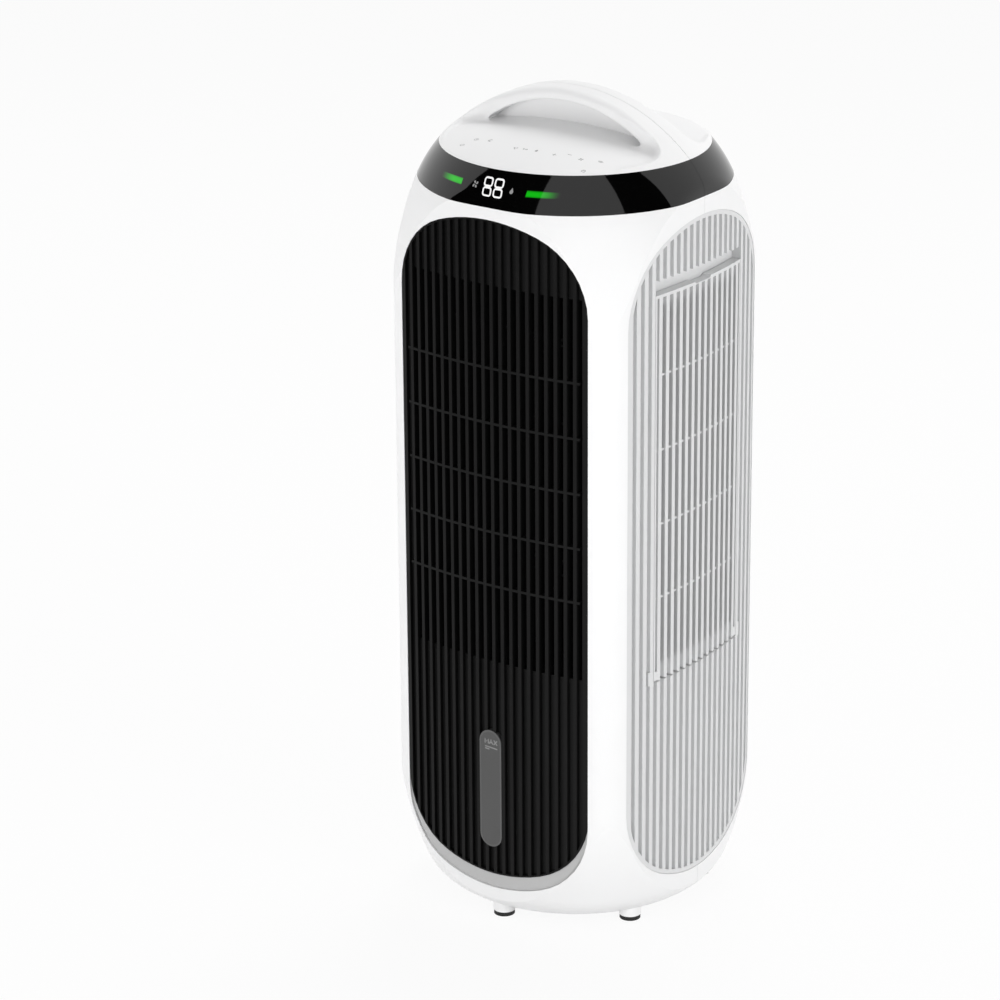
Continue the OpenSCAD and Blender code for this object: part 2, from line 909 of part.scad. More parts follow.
module door_opening() {
    box([-door_hole, door_hole], [-body_w, -half / 2], [door_z - door_foot_gap, slot_top]);
}

module side_panel() {
    difference() {
        union() {
            difference() {
                union() {
                    intersection() {
                        skin(rib_drop, panel_t);
                        through_front() intake_outline();
                        union() {
                            ribs(intake_ribs, intake_pitch, intake_rib_w);
                            through_front() difference() {
                                intake_outline();
                                intake_outline(-intake_rim_w);
                            }
                        }
                    }
                    intersection() {
                        skin(plate_in, panel_t);
                        through_front() intake_outline();
                    }
                    intersection() {
                        skin(wall, wall + flange_t);
                        through_front() difference() {
                            intake_outline(flange_w);
                            intake_outline(-intake_rim_w);
                        }
                    }
                    // back of the finger slot
                    intersection() {
                        face_skin(plate_in, slot_d + slot_wall, door_z, slot_top + slot_wall);
                        box([-door_hole - slot_wall, door_hole + slot_wall], [-half, -half / 2],
                            [door_top - 3, slot_top + slot_wall]);
                    }
                    // hinge blocks beside the door's foot
                    intersection() {
                        face_skin(rib_drop, panel_t + 1, door_z - 4, hinge_z + 8);
                        for (m = [0, 1]) mirror([m, 0, 0])
                            box([door_hole - 1, door_hole + hinge_l + 3], [-half, -half / 2],
                                [door_z - 3, hinge_z + 6]);
                    }
                }
                intersection() {
                    door_opening();
                    face_skin(-1, slot_d, 0, slot_top + 1);
                }
                box([-door_hole, door_hole], [-body_w, -half / 2], [door_z - door_foot_gap, door_top - 3]);
            }
        }
        translate([-body_w / 2, -hinge_x, hinge_z]) rotate([0, 90, 0])
            translate([0, 0, half - door_hole - hinge_l - 0.5])
                cylinder(d = hinge_d + 2 * hinge_gap, h = 2 * (door_hole + hinge_l + 0.5), $fn = 32);
    }
}

module side_panel_right() {
    color("#d9dadb") to_side(1) side_panel();
}

module side_panel_left() {
    color("#d9dadb") to_side(-1) side_panel();
}

module filter_door() {
    window_z = door_z + frame_h;
    window_top = door_top - lip_h;
    difference() {
        union() {
            intersection() {
                face_skin(rib_drop, door_t, door_z, door_top);
                ribs(door_ribs, intake_pitch, intake_rib_w);
            }
            intersection() {
                face_skin(plate_in, door_t, door_z, door_top);
                difference() {
                    box([-door_half, door_half], [-half, -half / 2], [door_z, door_top]);
                    box([-door_half + 6, door_half - 6], [-body_w, 0], [window_z, window_top]);
                }
            }
            // edges at both sides, with a block at each hinge pin
            intersection() {
                face_skin(rib_drop, door_t, door_z, door_top);
                for (m = [0, 1]) mirror([m, 0, 0]) {
                    box([door_half - 2, door_half], [-half, -half / 2], [door_z, door_top]);
                    box([door_half - pin_block, door_half], [-half, -half / 2], [door_z, hinge_z + hinge_d]);
                }
            }
            intersection() {
                face_skin(plate_in - 2, door_t, door_z, door_top);
                for (i = [0:door_bars - 1])
                    translate([0, 0, door_bar_mid + (i - (door_bars - 1) / 2) * door_bar_pitch])
                        box([-door_half, door_half], [-half, -half / 2], [-1, 1]);
            }
            // the lip that fingers pull on
            intersection() {
                face_skin(rib_drop, slot_d - 1, door_z, door_top);
                box([-door_half, door_half], [-half, -half / 2], [door_top - lip_edge, door_top]);
            }
            // hinge pins
            for (m = [0, 1]) mirror([m, 0, 0])
                translate([door_half - 3, -hinge_x, hinge_z]) rotate([0, 90, 0])
                    cylinder(d = hinge_d, h = hinge_l + 3 + door_gap, $fn = 32);
        }
        through_front() translate([0, door_top]) {
            translate([-notch_w / 2 + notch_h, -notch_h]) square([notch_w - 2 * notch_h, 2 * notch_h]);
            for (s = [-1, 1]) translate([s * (notch_w / 2 - notch_h), 0]) circle(r = notch_h, $fn = 32);
        }
    }
}

module filter_door_right() {
    color("#d9dadb") to_side(1) filter_door();
}

module filter_door_left() {
    color("#d9dadb") to_side(-1) filter_door();
}

module filter_mesh() {
    intersection() {
        face_skin(door_t, door_t + mesh_t, door_z, door_top);
        box([-mesh_w / 2, mesh_w / 2], [-half, -half / 2], [hinge_z + 8, door_top - 6]);
    }
}

module filter_mesh_right() {
    color("#8f9193") to_side(1) filter_mesh();
}

module filter_mesh_left() {
    color("#8f9193") to_side(-1) filter_mesh();
}

// ---- decks, base and feet ----

module deck_plate(z) {
    intersection() {
        body_form(wall + deck_gap);
        box([-deck_half, deck_half], [-deck_half, deck_half], [z, z + deck_t]);
    }
}

module screw_holes(z) {
    screw_places() translate([0, 0, z - 1]) cylinder(d = screw_hole, h = deck_t + 2, $fn = 24);
}

module pad_drip_holes(z) {
    for (s = [-1, 1]) translate([s * (tray_x - tray_t - pad_t / 2), riser_y - riser_bend, z - 1])
        cylinder(d = riser_hole, h = deck_t + 2, $fn = 32);
}

module riser_passage(z) {
    translate([0, riser_y, z - 1]) cylinder(d = riser_hole, h = deck_t + 2, $fn = 32);
}

module fan_deck() {
    color("#c9cacb") difference() {
        deck_plate(fan_deck_z);
        screw_holes(fan_deck_z);
        riser_passage(fan_deck_z);
    }
}

module top_deck() {
    color("#c9cacb") difference() {
        deck_plate(top_deck_z);
        screw_holes(top_deck_z);
        pad_drip_holes(top_deck_z);
        riser_passage(top_deck_z);
        translate([0, wheel_y, top_deck_z - 1])
            cylinder(d = shaft_d + 2 * bearing_wall, h = deck_t + 2, $fn = 48);
        translate([louvre_at(3), -louvre_y, top_deck_z - 1])
            cylinder(d = pivot_d + 2 * pivot_gap, h = deck_t + 2, $fn = 32);
    }
}

module tank_deck() {
    rail_x = tank_w / 2 + tank_rail_gap;
    y_end = tank_d / 2 - tank_deck_end;
    color("#c9cacb") {
        box([-rail_x - tank_rail_w, rail_x + tank_rail_w], [-tank_d / 2, y_end],
            [tank_deck_z - deck_t, tank_deck_z]);
        for (m = [0, 1]) mirror([m, 0, 0])
            box([rail_x, rail_x + tank_rail_w], [-tank_d / 2, y_end - tank_rail_end],
                [tank_deck_z - deck_t, tank_deck_z + tank_rail_h]);
    }
}

module pillar_places() {
    for (x = [-1, 1], y = [-1, 1]) translate([x * pillar_x, y * pillar_x, 0]) children();
}

module base_plate() {
    color("#e6e7e8") difference() {
        union() {
            translate([0, 0, foot_h]) cylinder(r = base_r, h = wall);
            translate([0, 0, base_floor])
                cylinder(r = (base_r + panel_gap + heel_x) / 2 + 1, h = base_flange_h);
            pillar_places() translate([0, 0, base_floor])
                cylinder(d = pillar_d, h = tank_deck_z - deck_t - base_floor, $fn = 48);
        }
        pillar_places() {
            translate([0, 0, foot_h - 1])
                cylinder(d = screw_head_d + 2 * screw_head_gap,
                    h = screw_head_h + screw_head_gap + 1, $fn = 32);
            translate([0, 0, foot_h])
                cylinder(d = screw_hole, h = base_screw_l + 4 * screw_head_gap, $fn = 24);
        }
    }
}

module base_screws() {
    color("silver") pillar_places() {
        translate([0, 0, foot_h + screw_head_gap]) cylinder(d = screw_head_d, h = screw_head_h, $fn = 32);
        translate([0, 0, foot_h + screw_head_gap]) cylinder(d = screw_d, h = base_screw_l, $fn = 24);
    }
}

module deck_screws() {
    color("silver") for (z = [fan_floor, upper_floor]) screw_places() translate([0, 0, z]) {
        cylinder(d = screw_head_d, h = screw_head_h, $fn = 32);
        translate([0, 0, screw_head_gap - deck_t - ledge_t])
            cylinder(d = screw_d - screw_gap, h = deck_t + ledge_t, $fn = 24);
    }
}

module foot_pads() {
    color("#161616") foot_places() cylinder(d = foot_d - 1, h = foot_pad_t, $fn = 48);
}

// ---- swing louvres ----

function louvre_at(i) = (i - 1 - (louvre_count - 1) / 2) * louvre_pitch;

module louvre_frame() {
    y0 = -louvre_y - louvre_chord / 2;
    y1 = -louvre_y + louvre_chord / 2;
    color("#1c1c1d") difference() {
        union() {
            for (z = [rail_z, rail_top]) box([-post_x, post_x], [y0 + rail_in, y1], [z, z + rail_t]);
            for (m = [0, 1]) mirror([m, 0, 0])
                box([post_x, post_x + post_t], [y0 + post_in, y1], [fan_floor, top_deck_z]);
            box([-post_x, post_x], [y1 - frame_skirt_t, y1], [fan_floor, rail_z]);
        }
        for (i = [1:louvre_count]) translate([louvre_at(i), -louvre_y, 0]) {
            translate([0, 0, rail_z + 1]) cylinder(d = pivot_d + 2 * pivot_gap, h = rail_t + 1, $fn = 32);
            translate([0, 0, rail_top - 1]) cylinder(d = pivot_d + 2 * pivot_gap, h = rail_t + 2, $fn = 32);
        }
    }
}

module louvre(i) {
    reach = i == 3 ? motor_reach : 0;
    color("#1c1c1d") translate([louvre_at(i), -louvre_y, 0]) {
        difference() {
            union() {
                box([-louvre_t / 2, louvre_t / 2], [-louvre_chord / 2, louvre_chord / 2],
                    [louvre_z0, louvre_z1]);
                translate([0, 0, louvre_z0]) cylinder(d = pivot_d + 2, h = louvre_z1 - louvre_z0, $fn = 32);
            }
            for (z = [link_z_low, link_z_high])
                box([-louvre_chord, louvre_chord], [crank_l - link_w / 2 - link_room, louvre_chord],
                    [z - link_notch_h / 2, z + link_notch_h / 2]);
        }
        for (z = [link_z_low, link_z_high])
            translate([0, crank_l, z - link_notch_h / 2 - 1])
                cylinder(d = link_pin_d, h = link_notch_h + 2, $fn = 24);
        translate([0, 0, rail_z + pivot_foot])
            cylinder(d = pivot_d, h = pivot_l + reach, $fn = 32);
    }
}

module louvre_link() {
    color("#2a2a2b") for (z = [link_z_low, link_z_high]) difference() {
        box([louvre_at(1) - link_over, louvre_at(louvre_count) + link_over],
            [-louvre_y + crank_l - link_w / 2, -louvre_y + crank_l + link_w / 2],
            [z - link_t / 2, z + link_t / 2]);
        for (i = [1:louvre_count]) translate([louvre_at(i), -louvre_y + crank_l, z - link_t]) {
            cylinder(d = link_slot, h = 2 * link_t, $fn = 24);
            translate([0, -link_travel_y, 0]) cylinder(d = link_slot, h = 2 * link_t, $fn = 24);
            box([-link_slot / 2, link_slot / 2], [-link_travel_y, 0], [0, 2 * link_t]);
        }
    }
}

module louvre_1() { louvre(1); }
module louvre_2() { louvre(2); }
module louvre_3() { louvre(3); }
module louvre_4() { louvre(4); }
module louvre_5() { louvre(5); }
module louvre_6() { louvre(6); }

module swing_motor() {
    color("#b9bbbd") translate([louvre_at(3), -louvre_y, upper_floor]) difference() {
        union() {
            cylinder(d = swing_d, h = swing_h, $fn = 64);
            box([-swing_d / 2 - swing_ear, swing_d / 2 + swing_ear], [-swing_ear_w / 2, swing_ear_w / 2],
                [0, swing_ear_t]);
        }
        translate([0, 0, -1]) cylinder(d = pivot_d + 2 * pivot_gap, h = swing_bore_h + 1, $fn = 32);
    }
}

// ---- cross-flow blower ----

module blade_section() {
    bow = blade_l * 0.8;
    translate([wheel_r - blade_l / 2 - blade_in, 0]) rotate(24) intersection() {
        difference() {
            translate([0, -bow]) circle(r = bow + blade_t / 2, $fn = 48);
            translate([0, -bow]) circle(r = bow - blade_t / 2, $fn = 48);
        }
        translate([-blade_l / 2, -bow]) square([blade_l, 2 * bow]);
    }
}

module blower_wheel() {
    wheel_h = wheel_z1 - wheel_z0;
    ring_w = blade_l + ring_lap;
    color("#2b2c2e") translate([0, wheel_y, wheel_z0]) difference() {
        union() {
            linear_extrude(height = wheel_h)
                for (i = [0:blade_count - 1]) rotate(i * 360 / blade_count) blade_section();
            for (i = [0:bay_count]) translate([0, 0, i * (wheel_h - disc_t) / bay_count]) difference() {
                cylinder(r = wheel_r, h = disc_t);
                if (i > 0 && i < bay_count)
                    translate([0, 0, -1]) cylinder(r = wheel_r - ring_w, h = disc_t + 2);
            }
            for (z = [0, wheel_h - hub_h])
                translate([0, 0, z]) cylinder(d = shaft_d + 2 * hub_wall, h = hub_h, $fn = 48);
        }
        translate([0, 0, -1]) cylinder(d = shaft_d, h = wheel_h + 2, $fn = 48);
    }
}

module blower_shaft() {
    color("silver") translate([0, wheel_y, motor_z + boss_h + 1])
        cylinder(d = shaft_d, h = upper_floor - motor_z - boss_h - 2, $fn = 48);
}

module blower_motor() {
    color("#8d9093") translate([0, wheel_y, motor_z]) difference() {
        union() {
            cylinder(d = motor_d, h = motor_h);
            translate([0, 0, motor_h]) cylinder(d = shaft_d + 2 * boss_wall, h = boss_h, $fn = 48);
        }
        translate([0, 0, boss_h]) cylinder(d = shaft_d + 2 * shaft_gap, h = motor_h + 2, $fn = 48);
    }
}

module motor_mount() {
    color("#3a3b3d") translate([0, wheel_y, fan_floor]) difference() {
        union() {
            cylinder(d = motor_d + 2 * mount_lap, h = mount_h);
            for (a = [45:90:315]) rotate(a)
                translate([motor_d / 2 + mount_ear * 2 / 3, 0, 0])
                    cylinder(d = mount_ear, h = mount_h, $fn = 32);
        }
        translate([0, 0, -1]) cylinder(d = motor_d - 2 * mount_bore_in, h = mount_h + 2);
    }
}

module shaft_bearing() {
    color("#6b5a3a") translate([0, wheel_y, top_deck_z - bearing_drop]) difference() {
        union() {
            cylinder(d = shaft_d + 2 * bearing_wall, h = deck_t + bearing_drop, $fn = 48);
            translate([0, 0, deck_t + bearing_drop])
                cylinder(d = shaft_d + 2 * boss_wall, h = boss_h, $fn = 48);
        }
        translate([0, 0, -1])
            cylinder(d = shaft_d + 2 * shaft_gap, h = deck_t + bearing_drop + boss_h + 2, $fn = 48);
    }
}

// A wall along an arc about the wheel, from angle a0 to a1
module arc_wall(r, a0, a1) {
    l = 3 * r;
    intersection() {
        difference() {
            circle(r = r + scroll_t);
            circle(r = r);
        }
        polygon([[0, 0], l * [cos(a0), sin(a0)],
                 l * [cos((a0 + a1) / 2), sin((a0 + a1) / 2)], l * [cos(a1), sin(a1)]]);
    }
}

// A straight wall from a point on the arc out to the louvre frame
module run_wall(p, q) {
    n = [p[1] - q[1], q[0] - p[0]] / norm(q - p) * scroll_t;
    polygon([p, q, q + n, p + n]);
}

frame_gap = 0.5;
scroll_out = [-post_x, -louvre_y + louvre_chord / 2 - wheel_y + scroll_t + frame_gap];

module scroll_wall() {
    a = scroll_end;
    color("#2b2c2e") translate([0, wheel_y, fan_floor]) linear_extrude(height = top_deck_z - fan_floor) {
        arc_wall(scroll_r, scroll_start, a);
        run_wall((scroll_r) * [cos(a - 1), sin(a - 1)] + [0.6, 0], scroll_out);
    }
}

module tongue_wall() {
    a = tongue_start;
    color("#2b2c2e") translate([0, wheel_y, fan_floor]) linear_extrude(height = top_deck_z - fan_floor) {
        arc_wall(scroll_r - 3, a, tongue_end);
        run_wall([-scroll_out[0], scroll_out[1]], (scroll_r - 3) * [cos(a + 1), sin(a + 1)] - [0.6, 0]);
    }
}

// ---- cooling pads ----

module pad_tray() {
    x0 = tray_x - 2 * tray_t - pad_t;
    y = pad_w / 2 + tray_t;
    difference() {
        box([x0, tray_x], [-y, y], [fan_floor, top_deck_z]);
        box([x0 + tray_t, tray_x - tray_t], [-pad_w / 2, pad_w / 2],
            [fan_floor + pad_foot, top_deck_z - trough_h]);
        box([x0 - 1, tray_x + 1], [-pad_w / 2 + pad_window, pad_w / 2 - pad_window],
            [fan_floor + pad_foot + pad_window, top_deck_z - trough_h - pad_window]);
        box([x0 + tray_t, tray_x - tray_t], [-pad_w / 2, pad_w / 2],
            [top_deck_z - trough_h + tray_t, top_deck_z + 1]);
        for (i = [-3:3]) translate([(x0 + tray_x) / 2, i * pad_w / 8, top_deck_z - trough_h - 1])
            cylinder(d = drip_d, h = tray_t + 2, $fn = 24);
    }
}

module cooling_pad() {
    x0 = tray_x - tray_t - pad_t;
    box([x0, tray_x - tray_t], [-pad_w / 2, pad_w / 2], [fan_floor + pad_foot, top_deck_z - trough_h]);
}

module pad_tray_right() { color("#c9cacb") pad_tray(); }
module pad_tray_left() { color("#c9cacb") mirror([1, 0, 0]) pad_tray(); }
module cooling_pad_right() { color("#8a6f4d") cooling_pad(); }
module cooling_pad_left() { color("#8a6f4d") mirror([1, 0, 0]) cooling_pad(); }

// ---- water tank, pump and riser ----

module rounded_plan(w, d, r) {
    for (x = [-1, 1], y = [-1, 1]) translate([x * (w / 2 - r), y * (d / 2 - r)]) circle(r = r, $fn = 48);
    square([w - 2 * r, d], center = true);
    square([w, d - 2 * r], center = true);
}

module water_tank() {
    color("#cfd6da") translate([0, 0, tank_z]) difference() {
        linear_extrude(height = tank_h) rounded_plan(tank_w, tank_d, tank_corner_r);
        translate([0, 0, tank_wall]) linear_extrude(height = tank_h)
            rounded_plan(tank_w - 2 * tank_wall, tank_d - 2 * tank_wall, tank_corner_r - tank_wall);
    }
}

module drawer_front() {
    pull_y = face_at(0) - pull_d;
    color("white") difference() {
        intersection() {
            body_form(0);
            mirror([0, 1, 0]) through_front() drawer_outline(0);
            box([-far_reach, far_reach], [tank_d / 2, far_reach], [0, band_z]);
        }
        // hollow behind the front, open towards the tank
        intersection() {
            body_form(wall);
            box([drawer_hollow_in - tank_w / 2, tank_w / 2 - drawer_hollow_in], [0, far_reach],
                [tank_z + drawer_floor, pull_z - pull_h / 2 - wall]);
        }
        translate([0, pull_y, pull_z]) rotate([-90, 0, 0]) linear_extrude(height = far_reach) {
            square([pull_w - pull_h, pull_h], center = true);
            for (s = [-1, 1]) translate([s * (pull_w - pull_h) / 2, 0]) circle(d = pull_h, $fn = 48);
        }
    }
}

module water_pump() {
    color("#35373a") translate([0, riser_y, tank_z + tank_wall]) {
        cylinder(d = pump_d, h = pump_h);
        difference() {
            cylinder(d = riser_d + 2 * nozzle_wall, h = tank_h - tank_wall - nozzle_down, $fn = 32);
            translate([0, 0, pump_h]) cylinder(d = riser_bore, h = tank_h, $fn = 32);
        }
    }
}

module riser_pipe() {
    head_z = upper_floor + riser_d / 2 + riser_up;
    foot_z = fan_deck_z - riser_tail;
    arm_x = tray_x - tray_t - pad_t / 2;
    arm_y = riser_y - riser_bend;
    color("#dfe3e6") difference() {
        union() {
            translate([0, riser_y, foot_z]) cylinder(d = riser_d, h = head_z - foot_z, $fn = 32);
            translate([0, riser_y, fan_floor]) cylinder(d = riser_d + 2 * collar_w, h = collar_h, $fn = 32);
            translate([0, riser_y, head_z]) sphere(d = riser_d, $fn = 32);
            translate([0, arm_y, head_z]) rotate([-90, 0, 0])
                cylinder(d = riser_d, h = riser_y - arm_y, $fn = 32);
            translate([-arm_x, arm_y, head_z]) rotate([0, 90, 0])
                cylinder(d = riser_d, h = 2 * arm_x, $fn = 32);
            for (s = [-1, 1]) translate([s * arm_x, arm_y, 0]) {
                translate([0, 0, head_z]) sphere(d = riser_d, $fn = 32);
                translate([0, 0, top_deck_z - bearing_drop])
                    cylinder(d = riser_d, h = head_z - top_deck_z + bearing_drop, $fn = 32);
                translate([0, 0, upper_floor])
                    cylinder(d = riser_d + 2 * drip_collar_w, h = drip_collar_h, $fn = 32);
            }
        }
        translate([0, riser_y, foot_z - 1]) cylinder(d = riser_bore, h = head_z - foot_z + 1, $fn = 32);
    }
}

// ---- electronics ----

module display_bracket() {
    top_z = band_z + (band_h + display_h) / 2;
    y = -display_y + board_t;
    x1 = display_w / 2 - bracket_in;
    x0 = x1 - bracket_w;
    color("#c9cacb") {
        box([-display_w / 2, display_w / 2], [y, y + bracket_t], [top_z - display_h, top_z]);
        for (m = [0, 1]) mirror([m, 0, 0]) {
            box([x0, x1], [y, y + bracket_t], [upper_floor, top_z]);
            box([x0, x1], [y, y + bracket_foot], [upper_floor, upper_floor + bracket_t]);
        }
    }
}

module display_board() {
    z = band_z + (band_h - display_h) / 2;
    color("#1f5a36") {
        box([-display_w / 2, display_w / 2], [-display_y, -display_y + board_t], [z, z + display_h]);
        box([-display_lens_w / 2, display_lens_w / 2], [-display_y - display_lens_t, -display_y],
            [z + display_lens_in, z + display_h - display_lens_in]);
    }
}

module control_board() {
    y0 = wheel_y - control_gap - control_d / 2;
    chip_w = 30;
    chip_d = 24;
    chip_h = 22;
    can_d = 10;
    can_h = 16;
    can_pitch = 15;
    seat_z = upper_floor + stud_h + board_t - 0.2;
    color("#1f5a36") {
        difference() {
            box([-control_w / 2, control_w / 2], [y0 - control_d / 2, y0 + control_d / 2],
                [upper_floor + stud_h, upper_floor + stud_h + board_t]);
            translate([0, wheel_y, upper_floor])
                cylinder(d = shaft_d + control_bore, h = 2 * stud_h + board_t, $fn = 48);
        }
        for (x = [-1, 1], y = [-1, 1])
            translate([x * (control_w / 2 - stud_d), y0 + y * (control_d / 2 - stud_d), upper_floor])
                cylinder(d = stud_d, h = stud_h + board_t / 2, $fn = 24);
        translate([-chip_w * 1.2, y0 + stud_d, seat_z]) cube([chip_w, chip_d, chip_h]);
        for (i = [0:2]) translate([can_pitch * (i + 1), y0 + stud_d, seat_z])
            cylinder(d = can_d, h = can_h, $fn = 32);
    }
}

module cord_grommet() {
    y_skin = sqrt(pow(low_at(grommet_z), 2) - pow(grommet_x, 2));
    y_in = y_skin - 4 * wall;
    nose_l = 4;
    color("#161616") translate([grommet_x, 0, grommet_z]) rotate([-90, 0, 0]) difference() {
        union() {
            translate([0, 0, y_in]) cylinder(d = grommet_d, h = grommet_l, $fn = 48);
            translate([0, 0, y_in + grommet_l - nose_l])
                cylinder(d1 = grommet_d, d2 = grommet_d - 3, h = nose_l, $fn = 48);
            translate([0, 0, y_in - grommet_lip])
                cylinder(d = grommet_d + 2 * grommet_lip, h = grommet_lip, $fn = 48);
        }
        translate([0, 0, y_in - grommet_lip - 1])
            cylinder(d = grommet_bore, h = grommet_l + grommet_lip + nose_l + 2, $fn = 32);
    }
}

front_shell();
rear_shell();
top_front();
top_rear();
band_front();
band_rear();
front_grille();
front_sill();
level_window();
side_panel_left();
side_panel_right();
filter_door_left();
filter_door_right();
filter_mesh_left();
filter_mesh_right();
cooling_pad_left();
cooling_pad_right();
pad_tray_left();
pad_tray_right();
louvre_frame();
louvre_1();
louvre_2();
louvre_3();
louvre_4();
louvre_5();
louvre_6();
louvre_link();
swing_motor();
blower_wheel();
blower_shaft();
blower_motor();
motor_mount();
shaft_bearing();
scroll_wall();
tongue_wall();
tank_deck();
fan_deck();
top_deck();
base_plate();
foot_pads();
water_tank();
drawer_front();
water_pump();
riser_pipe();
display_bracket();
display_board();
control_board();
cord_grommet();
deck_screws();
base_screws();
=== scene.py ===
import math

import bmesh
import bpy
import numpy as np
from mathutils import Matrix, Vector
from mathutils.bvhtree import BVHTree


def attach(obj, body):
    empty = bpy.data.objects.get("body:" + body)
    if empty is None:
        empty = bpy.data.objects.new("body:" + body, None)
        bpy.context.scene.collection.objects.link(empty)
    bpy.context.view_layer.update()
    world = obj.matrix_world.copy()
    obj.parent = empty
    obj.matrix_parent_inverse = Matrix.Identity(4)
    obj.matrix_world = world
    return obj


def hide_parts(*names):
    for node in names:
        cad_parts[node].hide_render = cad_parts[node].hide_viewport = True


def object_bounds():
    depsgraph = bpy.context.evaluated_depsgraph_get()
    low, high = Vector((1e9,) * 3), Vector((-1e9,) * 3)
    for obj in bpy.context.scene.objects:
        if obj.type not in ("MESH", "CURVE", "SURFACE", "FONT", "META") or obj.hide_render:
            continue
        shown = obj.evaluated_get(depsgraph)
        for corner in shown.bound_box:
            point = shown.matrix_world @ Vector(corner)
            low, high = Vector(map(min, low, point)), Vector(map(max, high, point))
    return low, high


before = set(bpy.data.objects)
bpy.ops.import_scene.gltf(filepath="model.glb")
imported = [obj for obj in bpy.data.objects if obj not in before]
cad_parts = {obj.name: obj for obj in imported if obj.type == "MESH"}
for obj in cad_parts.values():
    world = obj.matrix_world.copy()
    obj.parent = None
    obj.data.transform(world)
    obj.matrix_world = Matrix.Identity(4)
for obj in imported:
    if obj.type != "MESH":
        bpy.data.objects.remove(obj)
cad_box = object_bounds()

# ---- Base plate -------------------------------------------------------------------------------
# The plate closes the underside of the casing. It is moulded in the casing's own white ABS, with
# a lap that lies on the casing's lip and four pillars that carry the tank deck. Zinc-plated screws
# go up through the pillars.

# How fine each texture of moulded plastic is, in grains to the metre, and how much its gloss varies.
TONE_GRAIN = 14.0
GLOSS_GRAIN = 60.0
SPARK_GRAIN = 1400.0
GLOSS_SPREAD = 0.10


class Signal:
    """One output of a recipe's nodes, so that grain and wear are written as sums."""

    def __init__(self, recipe, socket):
        self.recipe = recipe
        self.socket = socket

    def join(self, operation, first, second):
        return self.recipe.node("ShaderNodeMath", {"operation": operation}, {0: first, 1: second})

    def __add__(self, other):
        return self.join("ADD", self, other)

    def __sub__(self, other):
        return self.join("SUBTRACT", self, other)

    def __rsub__(self, other):
        return self.join("SUBTRACT", other, self)

    def __mul__(self, other):
        return self.join("MULTIPLY", self, other)

    def __truediv__(self, other):
        return self.join("DIVIDE", self, other)

    def __rtruediv__(self, other):
        return self.join("DIVIDE", other, self)

    __radd__ = __add__
    __rmul__ = __mul__

    def most(self, other):
        return self.join("MAXIMUM", self, other)


class Recipe:
    """Nodes and the links between them."""

    def __init__(self, tree):
        self.tree = tree

    def plug(self, socket, value):
        if isinstance(value, Signal):
            self.tree.links.new(value.socket, socket)
        else:
            socket.default_value = value

    def node(self, kind, settings, sockets, out=0):
        """Adds one node: its settings first, then the values or links of its sockets."""
        node = self.tree.nodes.new(kind)
        for key, value in settings.items():
            setattr(node, key, value)
        for key, value in sockets.items():
            self.plug(node.inputs[key], value)
        return Signal(self, node.outputs[out])

    def blend(self, factor, first, second):
        """Mixes two colours; 6, 7 and 2 are the Mix node's colour sockets."""
        return self.node("ShaderNodeMix", {"data_type": "RGBA"}, {0: factor, 6: first, 7: second}, 2)


class Finish(Recipe):
    """A material of the product: a Principled shader and the nodes that vary it."""

    def __init__(self, name, roughness, **constants):
        self.material = bpy.data.materials.new(name)
        self.material.use_nodes = True
        super().__init__(self.material.node_tree)
        self.shader = self.tree.nodes["Principled BSDF"]
        self.set("Roughness", roughness)
        for socket, value in constants.items():
            self.set(socket.replace("_", " "), value)

    def set(self, socket, value):
        self.plug(self.shader.inputs[socket], value)

    def place(self, axis=None):
        """Where on the object a point lies, or that place along one axis, in metres."""
        spot = self.node("ShaderNodeTexCoord", {}, {}, "Object")
        if axis is None:
            return spot
        return self.node("ShaderNodeSeparateXYZ", {}, {0: spot}, "XYZ".index(axis))

    def grain(self, scale, detail=2.0):
        sockets = {"Vector": self.place(), "Scale": scale, "Detail": detail}
        return self.node("ShaderNodeTexNoise", {}, sockets)

    def bump(self, height, depth, strength=1.0):
        sockets = {"Strength": strength, "Distance": depth, "Height": height}
        self.set("Normal", self.node("ShaderNodeBump", {}, sockets))


def shade(grey, tint=(1.0, 1.0, 1.0)):
    return (grey * tint[0], grey * tint[1], grey * tint[2], 1.0)


def moulded(name, dark, light, roughness, grain_depth=0.00012, **constants):
    """Injection-moulded plastic: a faint drift of tone, uneven gloss and a fine spark texture."""
    finish = Finish(name, roughness, **constants)
    finish.set("Base Color", finish.blend(finish.grain(TONE_GRAIN), dark, light))
    finish.set("Roughness", finish.grain(GLOSS_GRAIN) * GLOSS_SPREAD + (roughness - GLOSS_SPREAD / 2))
    finish.bump(finish.grain(SPARK_GRAIN, 1.0), grain_depth, 0.5)
    return finish


def dress(finish, *nodes):
    """Gives CAD nodes their finish."""
    for name in nodes:
        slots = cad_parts[name].data.materials
        slots.clear()
        slots.append(finish.material)


white_abs = moulded("white_abs", shade(0.870, (1.0, 1.0, 1.004)), shade(0.895, (1.0, 1.0, 1.002)), 0.36)
dress(white_abs, "base_plate")
plated = Finish("zinc_plated_steel", 0.38, Metallic=1.0)
plated.set("Base Color", plated.blend(plated.grain(40.0), shade(0.48), shade(0.60)))
plated.set("Roughness", plated.grain(220.0) * 0.2 + 0.28)
plated.bump(plated.grain(900.0), 0.0001, 0.4)
dress(plated, "base_screws")

# ---- Feet -------------------------------------------------------------------------------------
# Six short feet hold the column off the floor. They are moulded with the casing in white ABS,
# and each ends in a glued pad of black rubber.

rubber = moulded("black_rubber", shade(0.010), shade(0.016), 0.75, 0.0003)
dress(rubber, "foot_pads")

# ---- Casing -----------------------------------------------------------------------------------
# Front and rear shells are 3 mm mouldings in white satin ABS that meet on a fine seam.
# The drawer front is moulded in the same plastic and closes the rear shell's opening.

dress(white_abs, "front_shell", "rear_shell", "drawer_front")

